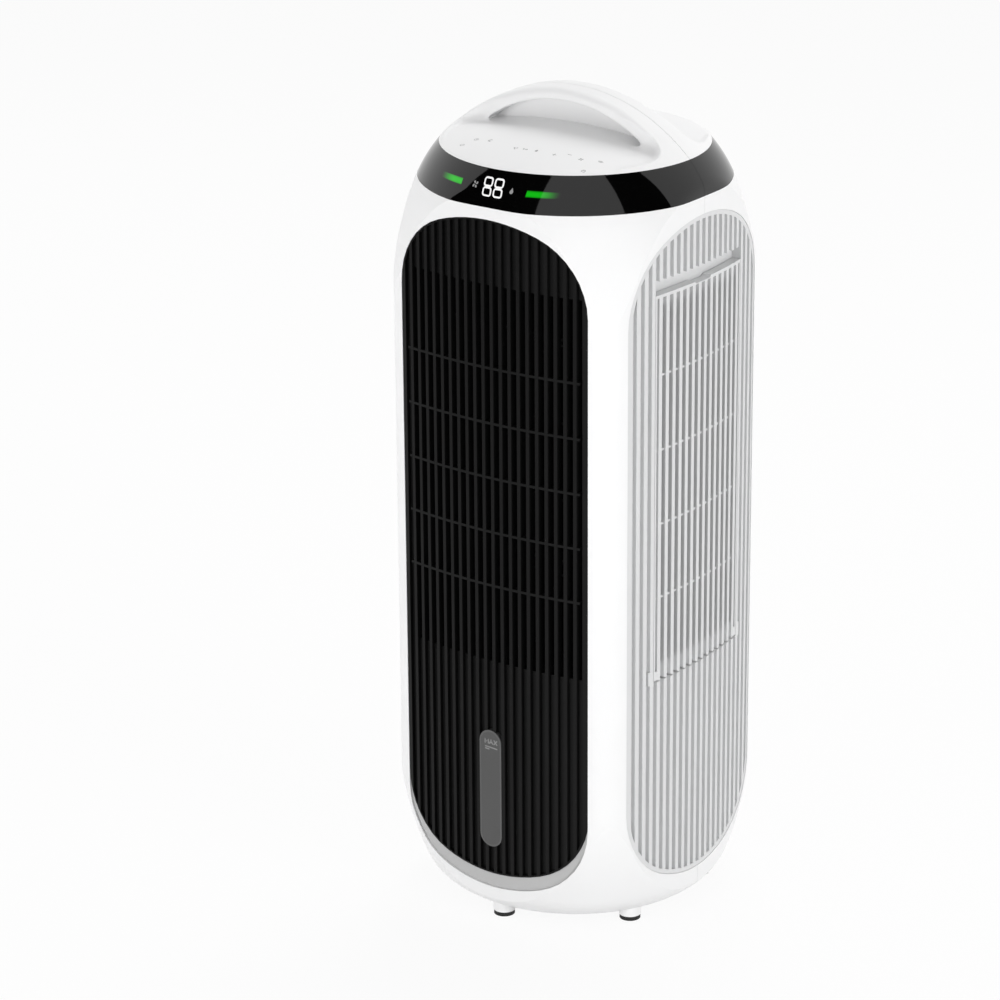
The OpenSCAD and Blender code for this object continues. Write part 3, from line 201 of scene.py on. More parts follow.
# ---- Tank deck, fan deck and upper deck -------------------------------------------------------
# Flat mouldings in unpainted light grey ABS that divide the column into floors. The fan deck and
# the upper deck are screwed down on the casing's corner ledges.

inner_abs = moulded("inner_abs", shade(0.50), shade(0.56), 0.5, 0.0002)
dress(inner_abs, "tank_deck", "fan_deck", "top_deck")
dress(plated, "deck_screws")

# ---- Water tank and pump ----------------------------------------------------------------------
# The tank is an open box of milky SAN behind the drawer front. The pump's cover and nozzle are
# black ABS, and a pale silicone pipe carries the water up through the decks to the pads.

tank_san = moulded("tank_san", shade(0.55, (0.92, 0.98, 1.0)), shade(0.66, (0.94, 0.98, 1.0)), 0.12, 0.00005)
dress(tank_san, "water_tank")
black_abs = moulded("black_abs", shade(0.007), shade(0.010), 0.42, Specular_IOR_Level=0.15)
dress(black_abs, "water_pump")
hose = moulded("silicone_hose", shade(0.62, (1.0, 0.99, 0.95)), shade(0.70, (1.0, 0.99, 0.95)), 0.3)
dress(hose, "riser_pipe")

# ---- Blower -----------------------------------------------------------------------------------
# A cross-flow wheel of black ABS on a bright steel shaft, turned by a zinc-plated can motor.
# It runs between two upright walls, and its upper end sits in a sintered bronze bearing.

dress(black_abs, "scroll_wall", "tongue_wall", "motor_mount", "blower_wheel")
dress(plated, "blower_motor")
turned_steel = Finish("turned_steel", 0.25, Metallic=1.0)
turned_steel.set("Base Color", turned_steel.blend(turned_steel.grain(25.0), shade(0.55), shade(0.64)))
lathe_marks = turned_steel.node(
    "ShaderNodeTexWave", {"bands_direction": "Z"}, {"Vector": turned_steel.place(), "Scale": 900.0})
turned_steel.bump(lathe_marks, 0.00005, 0.5)
dress(turned_steel, "blower_shaft")
bronze_dark = shade(0.22, (1.0, 0.72, 0.42))
bronze_light = shade(0.30, (1.0, 0.74, 0.45))
bronze = moulded("sintered_bronze", bronze_dark, bronze_light, 0.45, Metallic=1.0)
dress(bronze, "shaft_bearing")

# ---- Cooling pads -----------------------------------------------------------------------------
# Corrugated cellulose sheets glued crosswise into a block. One block stands in a grey tray
# behind each filter door.

pad_paper = Finish("cellulose_pad", 0.9)
flutes = pad_paper.node(
    "ShaderNodeTexWave", {"bands_direction": "DIAGONAL"},
    {"Vector": pad_paper.place(), "Scale": 42.0, "Distortion": 1.0})
# The flute colour follows the bump: the valleys carry a painted shade of the brown and the ridges a lighter,
# painted-light copy of it.
painted_shade_valley = shade(0.16, (1.0, 0.72, 0.45))
painted_light_ridge = shade(0.34, (1.0, 0.74, 0.48))
pad_paper.set("Base Color", pad_paper.blend(flutes, painted_shade_valley, painted_light_ridge))
pad_paper.bump(flutes, 0.002)
dress(pad_paper, "cooling_pad_left", "cooling_pad_right")
dress(inner_abs, "pad_tray_left", "pad_tray_right")

# ---- Boards -----------------------------------------------------------------------------------
# Green glass-epoxy boards under a solder mask. One is fixed on a grey bracket behind the band for
# the display, and the other lies on studs on the upper deck.

mask_green = moulded("solder_mask", shade(0.04, (0.4, 1.6, 0.7)), shade(0.06, (0.4, 1.6, 0.7)), 0.3)
dress(mask_green, "display_board", "control_board")
dress(inner_abs, "display_bracket")

# ---- Louvres ----------------------------------------------------------------------------------
# Six upright blades on round pivots in a frame behind the outlet's ribs. Two link bars join them,
# and all of it is black satin ABS. A small plated motor swings the blades.

dress(black_abs, "louvre_frame", "louvre_link", *[f"louvre_{number}" for number in range(1, 7)])
dress(plated, "swing_motor")

# ---- Outlet panel -----------------------------------------------------------------------------
# One tall moulding of upright ribs in black satin ABS, with thin bars across them to keep them
# straight. It sits in the casing's opening, and a flange behind the casing's wall holds it.

outlet_abs = moulded("outlet_abs", shade(0.0065), shade(0.0095), 0.42, Specular_IOR_Level=0.11)
dress(outlet_abs, "front_grille")

# ---- Sill -------------------------------------------------------------------------------------
# A crescent of light grey ABS that finishes the lower end of the outlet. It is a moulding of its
# own, set a little behind the casing's skin.

sill_abs = moulded("sill_abs", shade(0.47), shade(0.51), 0.42)
dress(sill_abs, "front_sill")

# ---- Level window -----------------------------------------------------------------------------
# A smoked window over the tank's level, with an edge that laps behind the outlet panel. Its raised
# rim and its printed maximum mark are thin layers that follow the window's own face.

MM = 0.001
WINDOW_LAP = 1.5
RIM_INSET = 1.0
RIM_WIDTH = 1.8
RIM_PROUD = 0.12
RIM_STEPS = 12
RIM_TURN_STEPS = 16
LETTER_HEIGHT = 4.8
LETTER_DROP = 14.6
LETTER_LINE = 1.3
INK_PROUD = 0.06
LAYER_DEPTH = 0.1
IN_FRONT = -200.0

smoked = moulded("smoked_window", shade(0.062), shade(0.070), 0.3, 0.00003)
dress(smoked, "level_window")
smoked_rim = moulded("smoked_rim", shade(0.084), shade(0.096), 0.34, 0.00003)
window_ink = moulded("window_ink", shade(0.22), shade(0.26), 0.5, 0.00003)
window_face = BVHTree.FromObject(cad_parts["level_window"], bpy.context.evaluated_depsgraph_get())


def extent(node):
    """The lowest and the highest corner of a CAD node, in millimetres."""
    corners = np.array([corner.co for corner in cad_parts[node].data.vertices])
    return np.round(corners.min(axis=0) / MM, 2), np.round(corners.max(axis=0) / MM, 2)


def on_window(x, z, lift):
    """A point over the window's face, in metres."""
    hit = window_face.ray_cast(Vector((x, IN_FRONT, z)) * MM, Vector((0, 1, 0)))[0]
    return Vector((x * MM, hit.y - lift * MM, z * MM))


def wrap(bm, rings, closed):
    """Joins each ring of corners to the next; a run that isn't closed is capped at its ends."""
    pairs = zip(rings, rings[1:] + rings[:1]) if closed else zip(rings, rings[1:])
    for first, second in pairs:
        for k in range(len(first)):
            beside = (k + 1) % len(first)
            bm.faces.new((first[k], first[beside], second[beside], second[k]))
    if not closed:
        bm.faces.new(rings[0])
        bm.faces.new(rings[-1][::-1])


def lay(bm, skin, path, width, proud, closed=False, across=1):
    """A flat line laid on a face: a thin closed strip whose width may change along the path."""
    widths = width if isinstance(width, (list, tuple)) else [width] * len(path)
    rings = []
    count = len(path)
    for i, (u, v) in enumerate(path):
        before = path[i - 1] if closed or i else path[0]
        after = path[(i + 1) % count] if closed or i < count - 1 else path[-1]
        along = Vector((after[0] - before[0], after[1] - before[1])).normalized()
        offsets = [widths[i] * (k / across - 0.5) for k in range(across + 1)]
        ring = [(u - along.y * o, v + along.x * o, proud) for o in offsets]
        ring += [(u - along.y * o, v + along.x * o, -LAYER_DEPTH) for o in reversed(offsets)]
        rings.append([bm.verts.new(skin(*spot)) for spot in ring])
    wrap(bm, rings, closed)


def arc(u, v, radius, start, end, count=12):
    """Points round part of a circle; angles in degrees from the right, turning left."""
    turns = [math.radians(start + (end - start) * i / (count - 1)) for i in range(count)]
    return [(u + radius * math.cos(t), v + radius * math.sin(t)) for t in turns]


def cast(name, bm, finish):
    """Turns a finished form into an object of the scene."""
    mesh = bpy.data.meshes.new(name)
    bm.to_mesh(mesh)
    bm.free()
    mesh.materials.append(finish.material)
    piece = bpy.data.objects.new(name, mesh)
    bpy.context.scene.collection.objects.link(piece)
    return piece


def build(name, bm, finish, body, crease=35.0):
    """A piece of the product: smooth, except along edges sharper than the crease."""
    bmesh.ops.recalc_face_normals(bm, faces=bm.faces[:])
    piece = cast(name, bm, finish)
    piece.data.shade_smooth()
    piece.data.set_sharp_from_angle(angle=math.radians(crease))
    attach(piece, body)
    return piece


window_low, window_high = extent("level_window")
WINDOW_HALF = window_high[0] - WINDOW_LAP
WINDOW_FOOT = window_low[2] + WINDOW_LAP
WINDOW_HEAD = window_high[2] - WINDOW_LAP

rim = bmesh.new()
inset = WINDOW_HALF - RIM_INSET
straight = WINDOW_HEAD - WINDOW_FOOT - 2 * WINDOW_HALF
heights = [WINDOW_FOOT + WINDOW_HALF + straight * i / RIM_STEPS for i in range(1, RIM_STEPS)]
crown = arc(0, WINDOW_HEAD - WINDOW_HALF, inset, 0, 180, RIM_TURN_STEPS + 1)
left_side = [(-inset, z) for z in reversed(heights)]
foot = arc(0, WINDOW_FOOT + WINDOW_HALF, inset, 180, 360, RIM_TURN_STEPS + 1)
right_side = [(inset, z) for z in heights]
lay(rim, on_window, crown + left_side + foot + right_side, RIM_WIDTH, RIM_PROUD, closed=True)
build("window_rim", rim, smoked_rim, "casing")

# The strokes of M, A and X, and under them the two lines that show the highest level. Each place
# is counted from the window's centre line and from the foot of the letters.
mark = bmesh.new()
strokes = (
    [(-6.2, 0), (-6.2, LETTER_HEIGHT), (-4.2, 1.8), (-2.2, LETTER_HEIGHT), (-2.2, 0)],
    [(-1.0, 0), (1.0, LETTER_HEIGHT), (3.0, 0)],
    [(-0.4, 1.6), (2.4, 1.6)],
    [(4.2, 0), (8.2, LETTER_HEIGHT)],
    [(4.2, LETTER_HEIGHT), (8.2, 0)],
    [(-6.2, -3.3), (0.0, -3.5), (8.6, -4.1)],
    [(-6.2, -5.5), (-1.0, -5.7)],
)
for stroke in strokes:
    path = [(x, WINDOW_HEAD - LETTER_DROP + height) for x, height in stroke]
    lay(mark, on_window, path, LETTER_LINE, INK_PROUD)
build("maximum_mark", mark, window_ink, "casing")

# ---- Intake panels and filter doors -----------------------------------------------------------
# Ribbed side panels in light grey ABS, each with a door that tilts out on two pins. A woven dust
# mesh is held on the back of each door.

intake_abs = moulded("intake_abs", shade(0.70, (0.99, 0.995, 1.0)), shade(0.73, (0.99, 0.995, 1.0)), 0.42)
dress(intake_abs, "side_panel_left", "side_panel_right", "filter_door_left", "filter_door_right")
dust_mesh = Finish("dust_mesh", 0.7)
weave = dust_mesh.node("ShaderNodeTexBrick", {}, {"Vector": dust_mesh.place(), "Scale": 800.0}, 1)
dust_mesh.set("Base Color", dust_mesh.blend(weave, shade(0.10), shade(0.22)))
dust_mesh.bump(weave, 0.0004)
dress(dust_mesh, "filter_mesh_left", "filter_mesh_right")

# ---- Grommet ----------------------------------------------------------------------------------
# A black rubber grommet low on the back, where the power lead comes in. A flange inside keeps it
# in the casing's hole.

dress(rubber, "cord_grommet")

# ---- Band -------------------------------------------------------------------------------------
# A ring of glossy black acrylic round the shoulder, in two halves, over the display. It is turned
# like the shoulder, about a centre off the axis, and eases into the column's four flat faces.

band_low, band_high = extent("band_front")
BAND_FOOT = band_low[2]
BAND_TOP = band_high[2]
BAND_WALL = 3.0
HALF_SEAM = -band_high[1]
SEAM_TURN = 0.002
SHOULDER_R = 135.0
SHOULDER_OUT = 29.6
SHOULDER_Z = 681.0
FACE_HALF = band_high[0]
FACE_BLEND = 4.0
BAND_ROWS = 14
BAND_STEPS = 144

acrylic = Finish("gloss_acrylic", 0.04)
acrylic.set("Base Color", acrylic.blend(acrylic.grain(10.0), shade(0.0008), shade(0.0016)))
acrylic.set("Roughness", acrylic.grain(30.0) * 0.03 + 0.03)


def band_reach(turn, z):
    """How far the shoulder stands from the axis: turned, and eased into the four flat faces."""
    turned = SHOULDER_OUT + math.sqrt(SHOULDER_R ** 2 - (z - SHOULDER_Z) ** 2)
    face = FACE_HALF / max(abs(math.cos(turn)), abs(math.sin(turn)))
    overlap = max(FACE_BLEND - abs(turned - face), 0.0)
    return min(turned, face) - overlap * overlap / (4.0 * FACE_BLEND)


def band_spot(turn, z, lift=0.0):
    """A point over the band's face, in metres; the turn is counted from the front."""
    def bare(t, h):
        return Vector((band_reach(t, h) * math.sin(t), -band_reach(t, h) * math.cos(t), h))
    spot = bare(turn, z)
    out = (bare(turn + 0.001, z) - spot).cross(bare(turn, z + 0.1) - spot).normalized()
    return (spot + out * lift) * MM


heights = [BAND_FOOT + (BAND_TOP - BAND_FOOT) * i / BAND_ROWS for i in range(BAND_ROWS + 1)]
for end, middle in (("front", 0.0), ("rear", math.pi)):
    half = bmesh.new()
    rings = []
    for k in range(BAND_STEPS + 1):
        turn = middle + (math.pi - SEAM_TURN) * (k / BAND_STEPS - 0.5)
        inward = Vector((-math.sin(turn), math.cos(turn), 0)) * BAND_WALL * MM
        outer = [band_spot(turn, z) for z in heights]
        inner = [spot + inward for spot in reversed(outer)]
        rings.append([half.verts.new(spot) for spot in outer + inner])
    wrap(half, rings, False)
    piece = build("ring_" + end, half, acrylic, "casing", 25.0)
    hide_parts("band_" + end)

# ---- Display marks ----------------------------------------------------------------------------
# Two digits shine white through the acrylic, with a fan and a drop in grey beside them and a green
# light bar on each side. Each is a thin layer on the band's curved front; the bars die away at
# their outer ends.

DIGIT_MIDDLES = (-1.5, 10.5)
DIGIT_Z = 755.9
DIGIT_RISE = 4.05
DIGIT_SHIFT = 0.65
DIGIT_HALF_WIDTH = 4.3
DIGIT_HALF_LOOP = 3.3
DIGIT_CORNER = 2.0
DIGIT_LEAN = 0.16
DIGIT_LINE = 1.5
BLADE_SWEEP = 50.0
BAR_GREEN = (0.004, 0.50, 0.006, 1.0)
BAR_PROUD = 0.05
BAR_FADE = 0.35
BAR_STEPS = 16


def on_band(x, z, lift):
    """A point over the band's front; a few rounds find the turn at which it stands at x."""
    turn = 0.0
    for _ in range(5):
        turn = math.asin(x / band_reach(turn, z))
    return band_spot(turn, z, lift)


def digit_loop(u, v):
    """A rounded oblong that leans: the outline of one half of a digit."""
    path = []
    for side_u, side_v, start in ((1, 1, 0), (-1, 1, 90), (-1, -1, 180), (1, -1, 270)):
        corner_u = side_u * (DIGIT_HALF_WIDTH - DIGIT_CORNER)
        corner_v = side_v * (DIGIT_HALF_LOOP - DIGIT_CORNER)
        path += arc(corner_u, corner_v, DIGIT_CORNER, start, start + 90, 6)
    return [(u + a - DIGIT_LEAN * b, v + b) for a, b in path]


def fan_blades(bm, skin, u, v, radius, count):
    """Swept blades round a middle; each pair is a distance out and the width there."""
    for i in range(count):
        path = []
        widths = []
        for share, width in ((0.2, 0.12), (0.45, 0.42), (0.7, 0.62), (0.9, 0.50), (1.0, 0.14)):
            turn = math.radians(360.0 * i / count + BLADE_SWEEP * share)
            path.append((u + radius * share * math.cos(turn), v + radius * share * math.sin(turn)))
            widths.append(radius * width)
        lay(bm, skin, path, widths, INK_PROUD)


def drop(bm, skin, u, v, size):
    """A water drop from its tip down; each pair is a height and the width there."""
    profile = ((1.1, 0.06), (0.7, 0.45), (0.3, 0.95), (-0.1, 1.35),
               (-0.45, 1.4), (-0.75, 1.0), (-0.95, 0.3))
    path = [(u, v + size * height) for height, _ in profile]
    lay(bm, skin, path, [size * width for _, width in profile], INK_PROUD)


def light_bar(name, sharp, faded):
    """A green bar, full at one end and faded at the other; each end is its x, height and width."""
    glow = Finish(name + "_glow", 0.05, Emission_Strength=1.0)
    glow.set("Base Color", glow.blend(glow.grain(10.0), shade(0.0025), shade(0.004)))
    full = sharp[0] + (faded[0] - sharp[0]) * BAR_FADE
    stretch = {"Value": glow.place("X"), "From Min": faded[0] * MM, "From Max": full * MM}
    fade = glow.node("ShaderNodeMapRange", {"interpolation_type": "SMOOTHSTEP"}, stretch)
    rise = (glow.place("Z") - (sharp[1] + faded[1]) / 2 * MM) / (sharp[2] / 2 * MM)
    soft = 1.0 - rise * rise * rise * rise
    uneven = glow.grain(60.0) * 0.12 + 0.9
    glow.set("Emission Color", glow.blend(fade * soft * uneven, shade(0.0), BAR_GREEN))
    bar = bmesh.new()
    path = []
    widths = []
    for i in range(BAR_STEPS + 1):
        x, z, width = [a + (b - a) * i / BAR_STEPS for a, b in zip(sharp, faded)]
        path.append((x, z))
        widths.append(width)
    lay(bar, on_band, path, widths, BAR_PROUD, across=4)
    build(name, bar, glow, "casing")


lit_white = Finish("lit_white", 0.3, Emission_Strength=1.0)
lit_white.set("Base Color", lit_white.blend(lit_white.grain(40.0), shade(0.30), shade(0.36)))
lit_white.set("Emission Color", lit_white.blend(lit_white.grain(90.0), shade(0.62), shade(0.72)))
lit_grey = Finish("lit_grey", 0.3, Emission_Strength=1.0)
lit_grey.set("Base Color", lit_grey.blend(lit_grey.grain(40.0), shade(0.10), shade(0.12)))
lit_grey.set("Emission Color", lit_grey.blend(lit_grey.grain(90.0), shade(0.16), shade(0.22)))

digits = bmesh.new()
for middle in DIGIT_MIDDLES:
    for side in (1, -1):
        loop = digit_loop(middle - side * DIGIT_SHIFT, DIGIT_Z + side * DIGIT_RISE)
        lay(digits, on_band, loop, DIGIT_LINE, INK_PROUD, closed=True)
build("display_digits", digits, lit_white, "casing")
icons = bmesh.new()
fan_blades(icons, on_band, -16.3, 755.9, radius=3.1, count=4)
drop(icons, on_band, 24.7, 755.2, size=2.5)
build("display_icons", icons, lit_grey, "casing")
light_bar("light_bar_left", sharp=(-33.6, 755.45, 5.8), faded=(-66.0, 755.0, 4.6))
light_bar("light_bar_right", sharp=(39.4, 754.5, 5.8), faded=(70.0, 754.3, 5.0))

# ---- Top with handle --------------------------------------------------------------------------
# Two mirrored mouldings in white satin ABS close the column. Each has a scooped deck; the
# scoops leave a carrying handle between them, and its flanks run softly into the dome.

TOP = float(round(cad_box[1][2] / MM))
DOME_R = 186.84
DOME_Z = TOP - DOME_R
DECK_DROP = 37.0
DECK_R = 570.0
DECK_Z = TOP - DECK_DROP - DECK_R
SCOOP_R = 126.9
SCOOP_CORNER = 26.0
GRIP_HALF = 20.5
GRIP_THICK = 11.5
ARCH_R = 150.0
ARCH_Z = TOP - GRIP_THICK - ARCH_R
TUNNEL_ROUND = 2.5
FLANK_ROUND = 9.0
DECK_ROUND = 3.0
HANDLE_EDGE = 6.0
RIM_EDGE = 1.5
# Where a round or an edge changes over, counted from the middle of the handle.
FLANK_ACROSS = (14.0, 23.0)
DECK_ACROSS = (34.0, 84.0)
RIM_ACROSS = (26.0, 70.0)
RIM_ALONG = (62.0, 96.0)
NET_SIDE = 134.0
NET_SPARE = 3.0
NET_BELOW = 6.5
NET_STEP = 1.3


def cut_both(a, b, r):
    """What lies in both forms, with the edge between them rounded by r."""
    u = np.maximum(r + a, 0.0)
    v = np.maximum(r + b, 0.0)
    return np.minimum(-r, np.maximum(a, b)) + np.sqrt(u * u + v * v)


def join_both(a, b, r):
    """What lies in either form, with the corner between them filled by r."""
    return -cut_both(-a, -b, r)


def ease(value, low, high):
    """Runs from 0 to 1 between two places, gently at both ends."""
    share = np.clip((value - low) / (high - low), 0.0, 1.0)
    return share * share * (3.0 - 2.0 * share)


def top_form(p):
    """How far a point lies outside the top moulding; less than nothing inside it."""
    x, y, z = p
    across = np.abs(y)
    out = np.sqrt(x * x + y * y)
    dome = np.sqrt(out * out + (z - DOME_Z) ** 2) - DOME_R
    over_deck = DECK_R - np.sqrt(out * out + (z - DECK_Z) ** 2)
    arch = np.sqrt(x * x + (z - ARCH_Z) ** 2) - ARCH_R
    scoop = cut_both(GRIP_HALF - across, out - SCOOP_R, SCOOP_CORNER)
    hollow = join_both(scoop, arch, TUNNEL_ROUND)
    # The deck meets the handle in a full round, which tightens in the tunnel and out on the deck.
    onto_flank = (FLANK_ROUND - TUNNEL_ROUND) * ease(across, *FLANK_ACROSS)
    onto_deck = (FLANK_ROUND - DECK_ROUND) * ease(across, *DECK_ACROSS)
    hollow = cut_both(hollow, over_deck, TUNNEL_ROUND + onto_flank - onto_deck)
    # The upper edge is full along the handle and fine where it runs round the deck.
    away = np.maximum(ease(across, *RIM_ACROSS), ease(np.abs(x), *RIM_ALONG))
    return cut_both(dome, -hollow, HANDLE_EDGE - (HANDLE_EDGE - RIM_EDGE) * away)


def net_over(form, low, high, step):
    """A mesh over the zero surface of a form: one corner per crossed cell, then drawn onto it."""
    axes = [np.arange(a, b + step, step) for a, b in zip(low, high)]
    grid = np.stack(np.meshgrid(*axes, indexing="ij"))
    depth = form(grid)
    inside = depth < 0
    cells = np.array(depth.shape) - 1
    total = np.zeros((3, *cells))
    count = np.zeros(cells)
    crossings = []
    for axis in range(3):
        near = [slice(None)] * 3
        far = [slice(None)] * 3
        near[axis] = slice(0, -1)
        far[axis] = slice(1, None)
        near, far = tuple(near), tuple(far)
        crossed = inside[near] != inside[far]
        share = np.where(crossed, depth[near] / np.where(crossed, depth[near] - depth[far], 1.0), 0.0)
        point = grid[(slice(None), *near)].copy()
        point[axis] += share * step
        crossings.append((crossed, inside[near]))
        others = [a for a in range(3) if a != axis]
        for shift_a in (0, 1):
            for shift_b in (0, 1):
                pick = [slice(None)] * 3
                pick[others[0]] = slice(shift_a, shift_a + cells[others[0]])
                pick[others[1]] = slice(shift_b, shift_b + cells[others[1]])
                pick = tuple(pick)
                total += np.where(crossed[pick], point[(slice(None), *pick)], 0.0)
                count += crossed[pick]
    used = count > 0
    number = np.full(cells, -1)
    number[used] = np.arange(used.sum())
    corners = total[:, used] / count[used]
    nudge = 0.01
    least_slope = 0.2
    for _ in range(3):
        value = form(corners)
        slope = [form(corners + nudge * np.eye(3)[a][:, None]) - value for a in range(3)]
        slope = np.stack(slope) / nudge
        corners = corners - value * slope / np.maximum((slope * slope).sum(axis=0), least_slope)
    faces = []
    for axis, (crossed, first_in) in enumerate(crossings):
        a, b = [o for o in range(3) if o != axis]
        where = np.argwhere(crossed)
        keep = (where[:, a] > 0) & (where[:, b] > 0) & (where[:, a] < cells[a]) & (where[:, b] < cells[b])
        where = where[keep]
        ring = []
        for back_a, back_b in ((1, 1), (0, 1), (0, 0), (1, 0)):
            spot = where.copy()
            spot[:, a] -= back_a
            spot[:, b] -= back_b
            ring.append(number[tuple(spot.T)])
        ring = np.stack(ring, axis=1)
        turn = first_in[tuple(where.T)] != (axis == 1)
        ring[~turn] = ring[~turn][:, ::-1]
        faces.append(ring)
    return corners.T, np.concatenate(faces)


def sheet_mesh(points, faces):
    bm = bmesh.new()
    corners = [bm.verts.new(p) for p in points]
    for face in faces:
        bm.faces.new([corners[i] for i in face])
    return bm


def trim(bm, spot, outward):
    """Cuts the form off flat at a plane and closes the cut."""
    cut = bmesh.ops.bisect_plane(bm, geom=bm.verts[:] + bm.edges[:] + bm.faces[:], dist=1e-7,
                                 plane_co=spot, plane_no=outward, clear_outer=True)
    edges = [e for e in cut["geom_cut"] if isinstance(e, bmesh.types.BMEdge)]
    bmesh.ops.triangle_fill(bm, use_beauty=True, use_dissolve=False, edges=edges, normal=outward)


# The net is drawn a little past the moulding on every side, and trimmed at the band and the seam.
net_low = (-NET_SIDE, -NET_SIDE, BAND_TOP - NET_BELOW)
net_high = (NET_SIDE, NET_SPARE, TOP + NET_SPARE)
corners, faces = net_over(top_form, net_low, net_high, NET_STEP)
for end, turn in (("front", 0.0), ("rear", math.pi)):
    half = sheet_mesh((corners * MM).tolist(), faces.tolist())
    trim(half, (0, 0, BAND_TOP * MM), (0, 0, -1))
    trim(half, (0, -HALF_SEAM * MM, 0), (0, 1, 0))
    bmesh.ops.rotate(half, cent=(0, 0, 0), matrix=Matrix.Rotation(turn, 3, "Z"), verts=half.verts[:])
    piece = build("dome_" + end, half, white_abs, "casing")
    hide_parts("top_" + end)

# ---- Key marks --------------------------------------------------------------------------------
# Small grey marks printed on the front deck, over the touch keys beneath it. Each is a few strokes
# of ink, laid as a thin film on the deck's crown.

KEY_LINE = 0.55
KEY_PROUD = 0.05

deck_ink = moulded("deck_ink", shade(0.26), shade(0.34), 0.5, 0.00003)
key_marks = bmesh.new()


def on_deck(x, y, lift):
    """A point over the front deck, in metres."""
    return Vector((x, y, DECK_Z + math.sqrt((DECK_R + lift) ** 2 - x * x - y * y))) * MM


def key(x, y, *strokes):
    """One mark: its strokes, drawn about the middle of its key."""
    for stroke in strokes:
        lay(key_marks, on_deck, [(x + a, y + b) for a, b in stroke], KEY_LINE, KEY_PROUD)


# Power, timer, night, sweep, more, less, remote and lock; then breeze, moisture and fan speed.
key(-65.8, -93.7, arc(0, 0, 2.0, 125, 415, 16), [(0, 0.5), (0, 2.6)])
key(-59.9, -78.9, arc(0, 0, 2.1, 0, 345, 18), [(0, 1.5), (0, 0), (1.2, 0)])
key(-43.3, -79.1, arc(0, 0, 2.2, 60, 300, 16), arc(1.0, 0, 1.9, 75, 285, 12))
key(2.8, -87.2, [(-2.4, 0), (2.4, 0)],
    [(-1.2, 1.3), (-2.6, 0), (-1.2, -1.3)], [(1.2, 1.3), (2.6, 0), (1.2, -1.3)])
key(34.9, -85.2, [(-2.3, 0), (2.3, 0)], [(0, -2.3), (0, 2.3)])
key(47.1, -77.7, [(-2.3, 0), (2.3, 0)])
key(79.1, -74.2,
    arc(0, -1.4, 1.3, 40, 140, 8), arc(0, -1.4, 2.5, 40, 140, 10), arc(0, -1.4, 3.7, 40, 140, 12))
key(76.9, -97.8, arc(0, 0.4, 1.3, 0, 180, 10),
    [(-1.7, 0.2), (1.7, 0.2), (1.7, -2.2), (-1.7, -2.2), (-1.7, 0.2)])
fan_blades(key_marks, on_deck, -7.5, -88.5, radius=2.4, count=3)
drop(key_marks, on_deck, 14.9, -85.7, size=2.1)
fan_blades(key_marks, on_deck, 61.6, -80.2, radius=2.3, count=4)
build("key_marks", key_marks, deck_ink, "casing")

# ---- Studio -----------------------------------------------------------------------------------
# A plain pale floor that runs back out of view, soft lamps, two black boards that only the
# gloss of the product shows, and a long lens. Its sizes are in metres.

FLOOR_REACH = 9.0
FLOOR_WHITE = 0.92
ROOM_LIGHT = 0.44
BOARD_MIDDLE = 0.754
BOARD_NEAR = 1.9
BOARD_FAR = 4.0
BOARD_FOOT = -21.0
BOARD_SPAN = 98.0
BOARD_BEND = (-4.0, 14.0)
BOARD_STEPS = 12
CAMERA_SPOT = (2.0900, -3.0250, 1.7620)
CAMERA_TURN = 34.7104
CAMERA_DIP = 20.1572
CAMERA_ROLL = -0.0638


def direct(recipe):
    """One where a camera, a gloss or a glass looks at it; nothing for the light that it gives."""
    looks = ("Is Camera Ray", "Is Glossy Ray", "Is Transmission Ray")
    rays = [recipe.node("ShaderNodeLightPath", {}, {}, look) for look in looks]
    return rays[0].most(rays[1]).most(rays[2])


pale_floor = Finish("pale_floor", 0.9)
pale_floor.set("Base Color", pale_floor.blend(pale_floor.grain(2.0), shade(0.86), shade(0.87)))
white_light = pale_floor.node("ShaderNodeEmission", {}, {"Color": shade(1.0), "Strength": 1.0})
lit_floor = Signal(pale_floor, pale_floor.shader.outputs[0])
seen_floor = pale_floor.node(
    "ShaderNodeMixShader", {}, {0: direct(pale_floor) * FLOOR_WHITE, 1: lit_floor, 2: white_light})
pale_floor.plug(pale_floor.tree.nodes["Material Output"].inputs["Surface"], seen_floor)
ground = bmesh.new()
bmesh.ops.create_grid(ground, x_segments=2, y_segments=2, size=FLOOR_REACH)
cast("floor", ground, pale_floor)

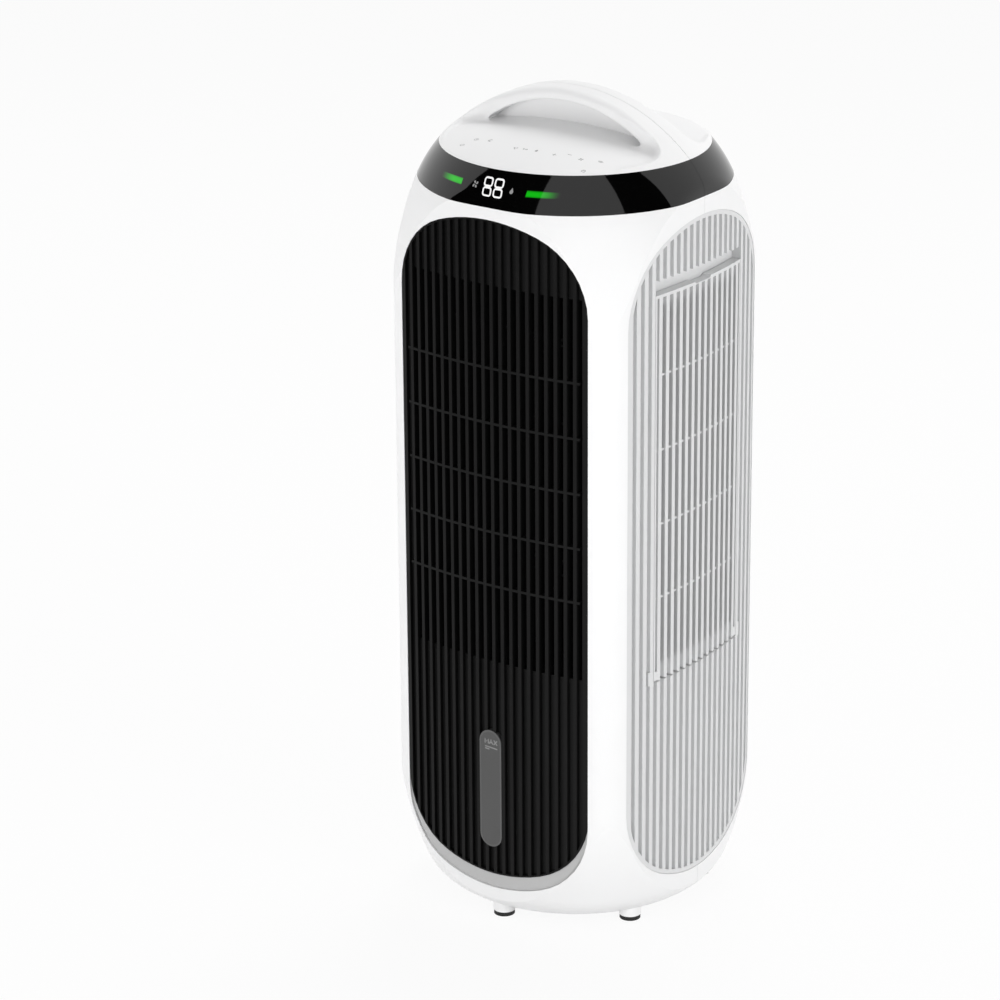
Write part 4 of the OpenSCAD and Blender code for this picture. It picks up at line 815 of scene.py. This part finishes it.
# The boards bend towards the product at their foot, so that the band mirrors them down to the floor.
board_black = Finish("board_black", 0.9, Specular_IOR_Level=0.0)
board_black.set("Base Color", board_black.blend(board_black.grain(3.0), shade(0.0), shade(0.004)))
for name, first, last in (("board_front", -150.0, -86.0), ("board_side", -18.0, 19.0)):
    board = bmesh.new()
    rows = []
    for i in range(BOARD_STEPS + 1):
        degrees = BOARD_SPAN * i / BOARD_STEPS + BOARD_FOOT
        rise = math.radians(degrees)
        distance = BOARD_NEAR + (BOARD_FAR - BOARD_NEAR) * float(ease(degrees, *BOARD_BEND))
        flat = distance * math.cos(rise)
        height = BOARD_MIDDLE + distance * math.sin(rise)
        turns = [math.radians(first + (last - first) * k / BOARD_STEPS) for k in range(BOARD_STEPS + 1)]
        rows.append([board.verts.new((flat * math.cos(t), flat * math.sin(t), height)) for t in turns])
    for low_row, high_row in zip(rows, rows[1:]):
        for k in range(BOARD_STEPS):
            board.faces.new((low_row[k], low_row[k + 1], high_row[k + 1], high_row[k]))
    piece = cast(name, board, board_black)
    for kind in ("camera", "diffuse", "transmission", "shadow", "volume_scatter"):
        setattr(piece, "visible_" + kind, False)


def lamp(name, spot, aim, size, power):
    """A soft rectangular lamp that the gloss doesn't show."""
    light = bpy.data.lights.new(name, "AREA")
    light.shape = "RECTANGLE"
    light.size, light.size_y = size
    light.energy = power
    holder = bpy.data.objects.new(name, light)
    holder.location = spot
    holder.rotation_euler = (Vector(aim) - Vector(spot)).to_track_quat("-Z", "Y").to_euler()
    holder.visible_glossy = False
    bpy.context.scene.collection.objects.link(holder)


lamp("key", spot=(-0.5, -2.9, 0.62), aim=(0, 0, 0.42), size=(1.8, 1.2), power=36)
lamp("fill", spot=(3.4, -0.4, 1.15), aim=(0, 0, 0.40), size=(1.6, 2.0), power=53)
lamp("edge", spot=(-3.4, 0.8, 1.3), aim=(0, 0, 0.40), size=(1.4, 1.8), power=10)
lamp("sky", spot=(-0.5, 1.6, 3.1), aim=(0, 0, 0.78), size=(1.6, 1.6), power=46)

world = bpy.data.worlds.new("room")
world.use_nodes = True
bpy.context.scene.world = world
room = Recipe(world.node_tree)
backdrop = world.node_tree.nodes["Background"]
room.plug(backdrop.inputs["Color"], shade(1.0))
room.plug(backdrop.inputs["Strength"], direct(room) * (1.0 - ROOM_LIGHT) + ROOM_LIGHT)

lens = bpy.data.cameras.new("camera")
lens.lens = 142.435
lens.sensor_width = 36.0
lens.shift_x = -0.0712
lens.shift_y = -0.0104
lens.clip_end = 50.0
camera = bpy.data.objects.new("camera", lens)
turn = Matrix.Rotation(math.radians(CAMERA_TURN), 4, "Z")
tilt = Matrix.Rotation(math.radians(90 - CAMERA_DIP), 4, "X")
roll = Matrix.Rotation(math.radians(CAMERA_ROLL), 4, "Z")
camera.matrix_world = Matrix.Translation(CAMERA_SPOT) @ (turn @ tilt) @ roll
bpy.context.scene.collection.objects.link(camera)
bpy.context.scene.camera = camera
bpy.context.scene.view_settings.view_transform = "Standard"
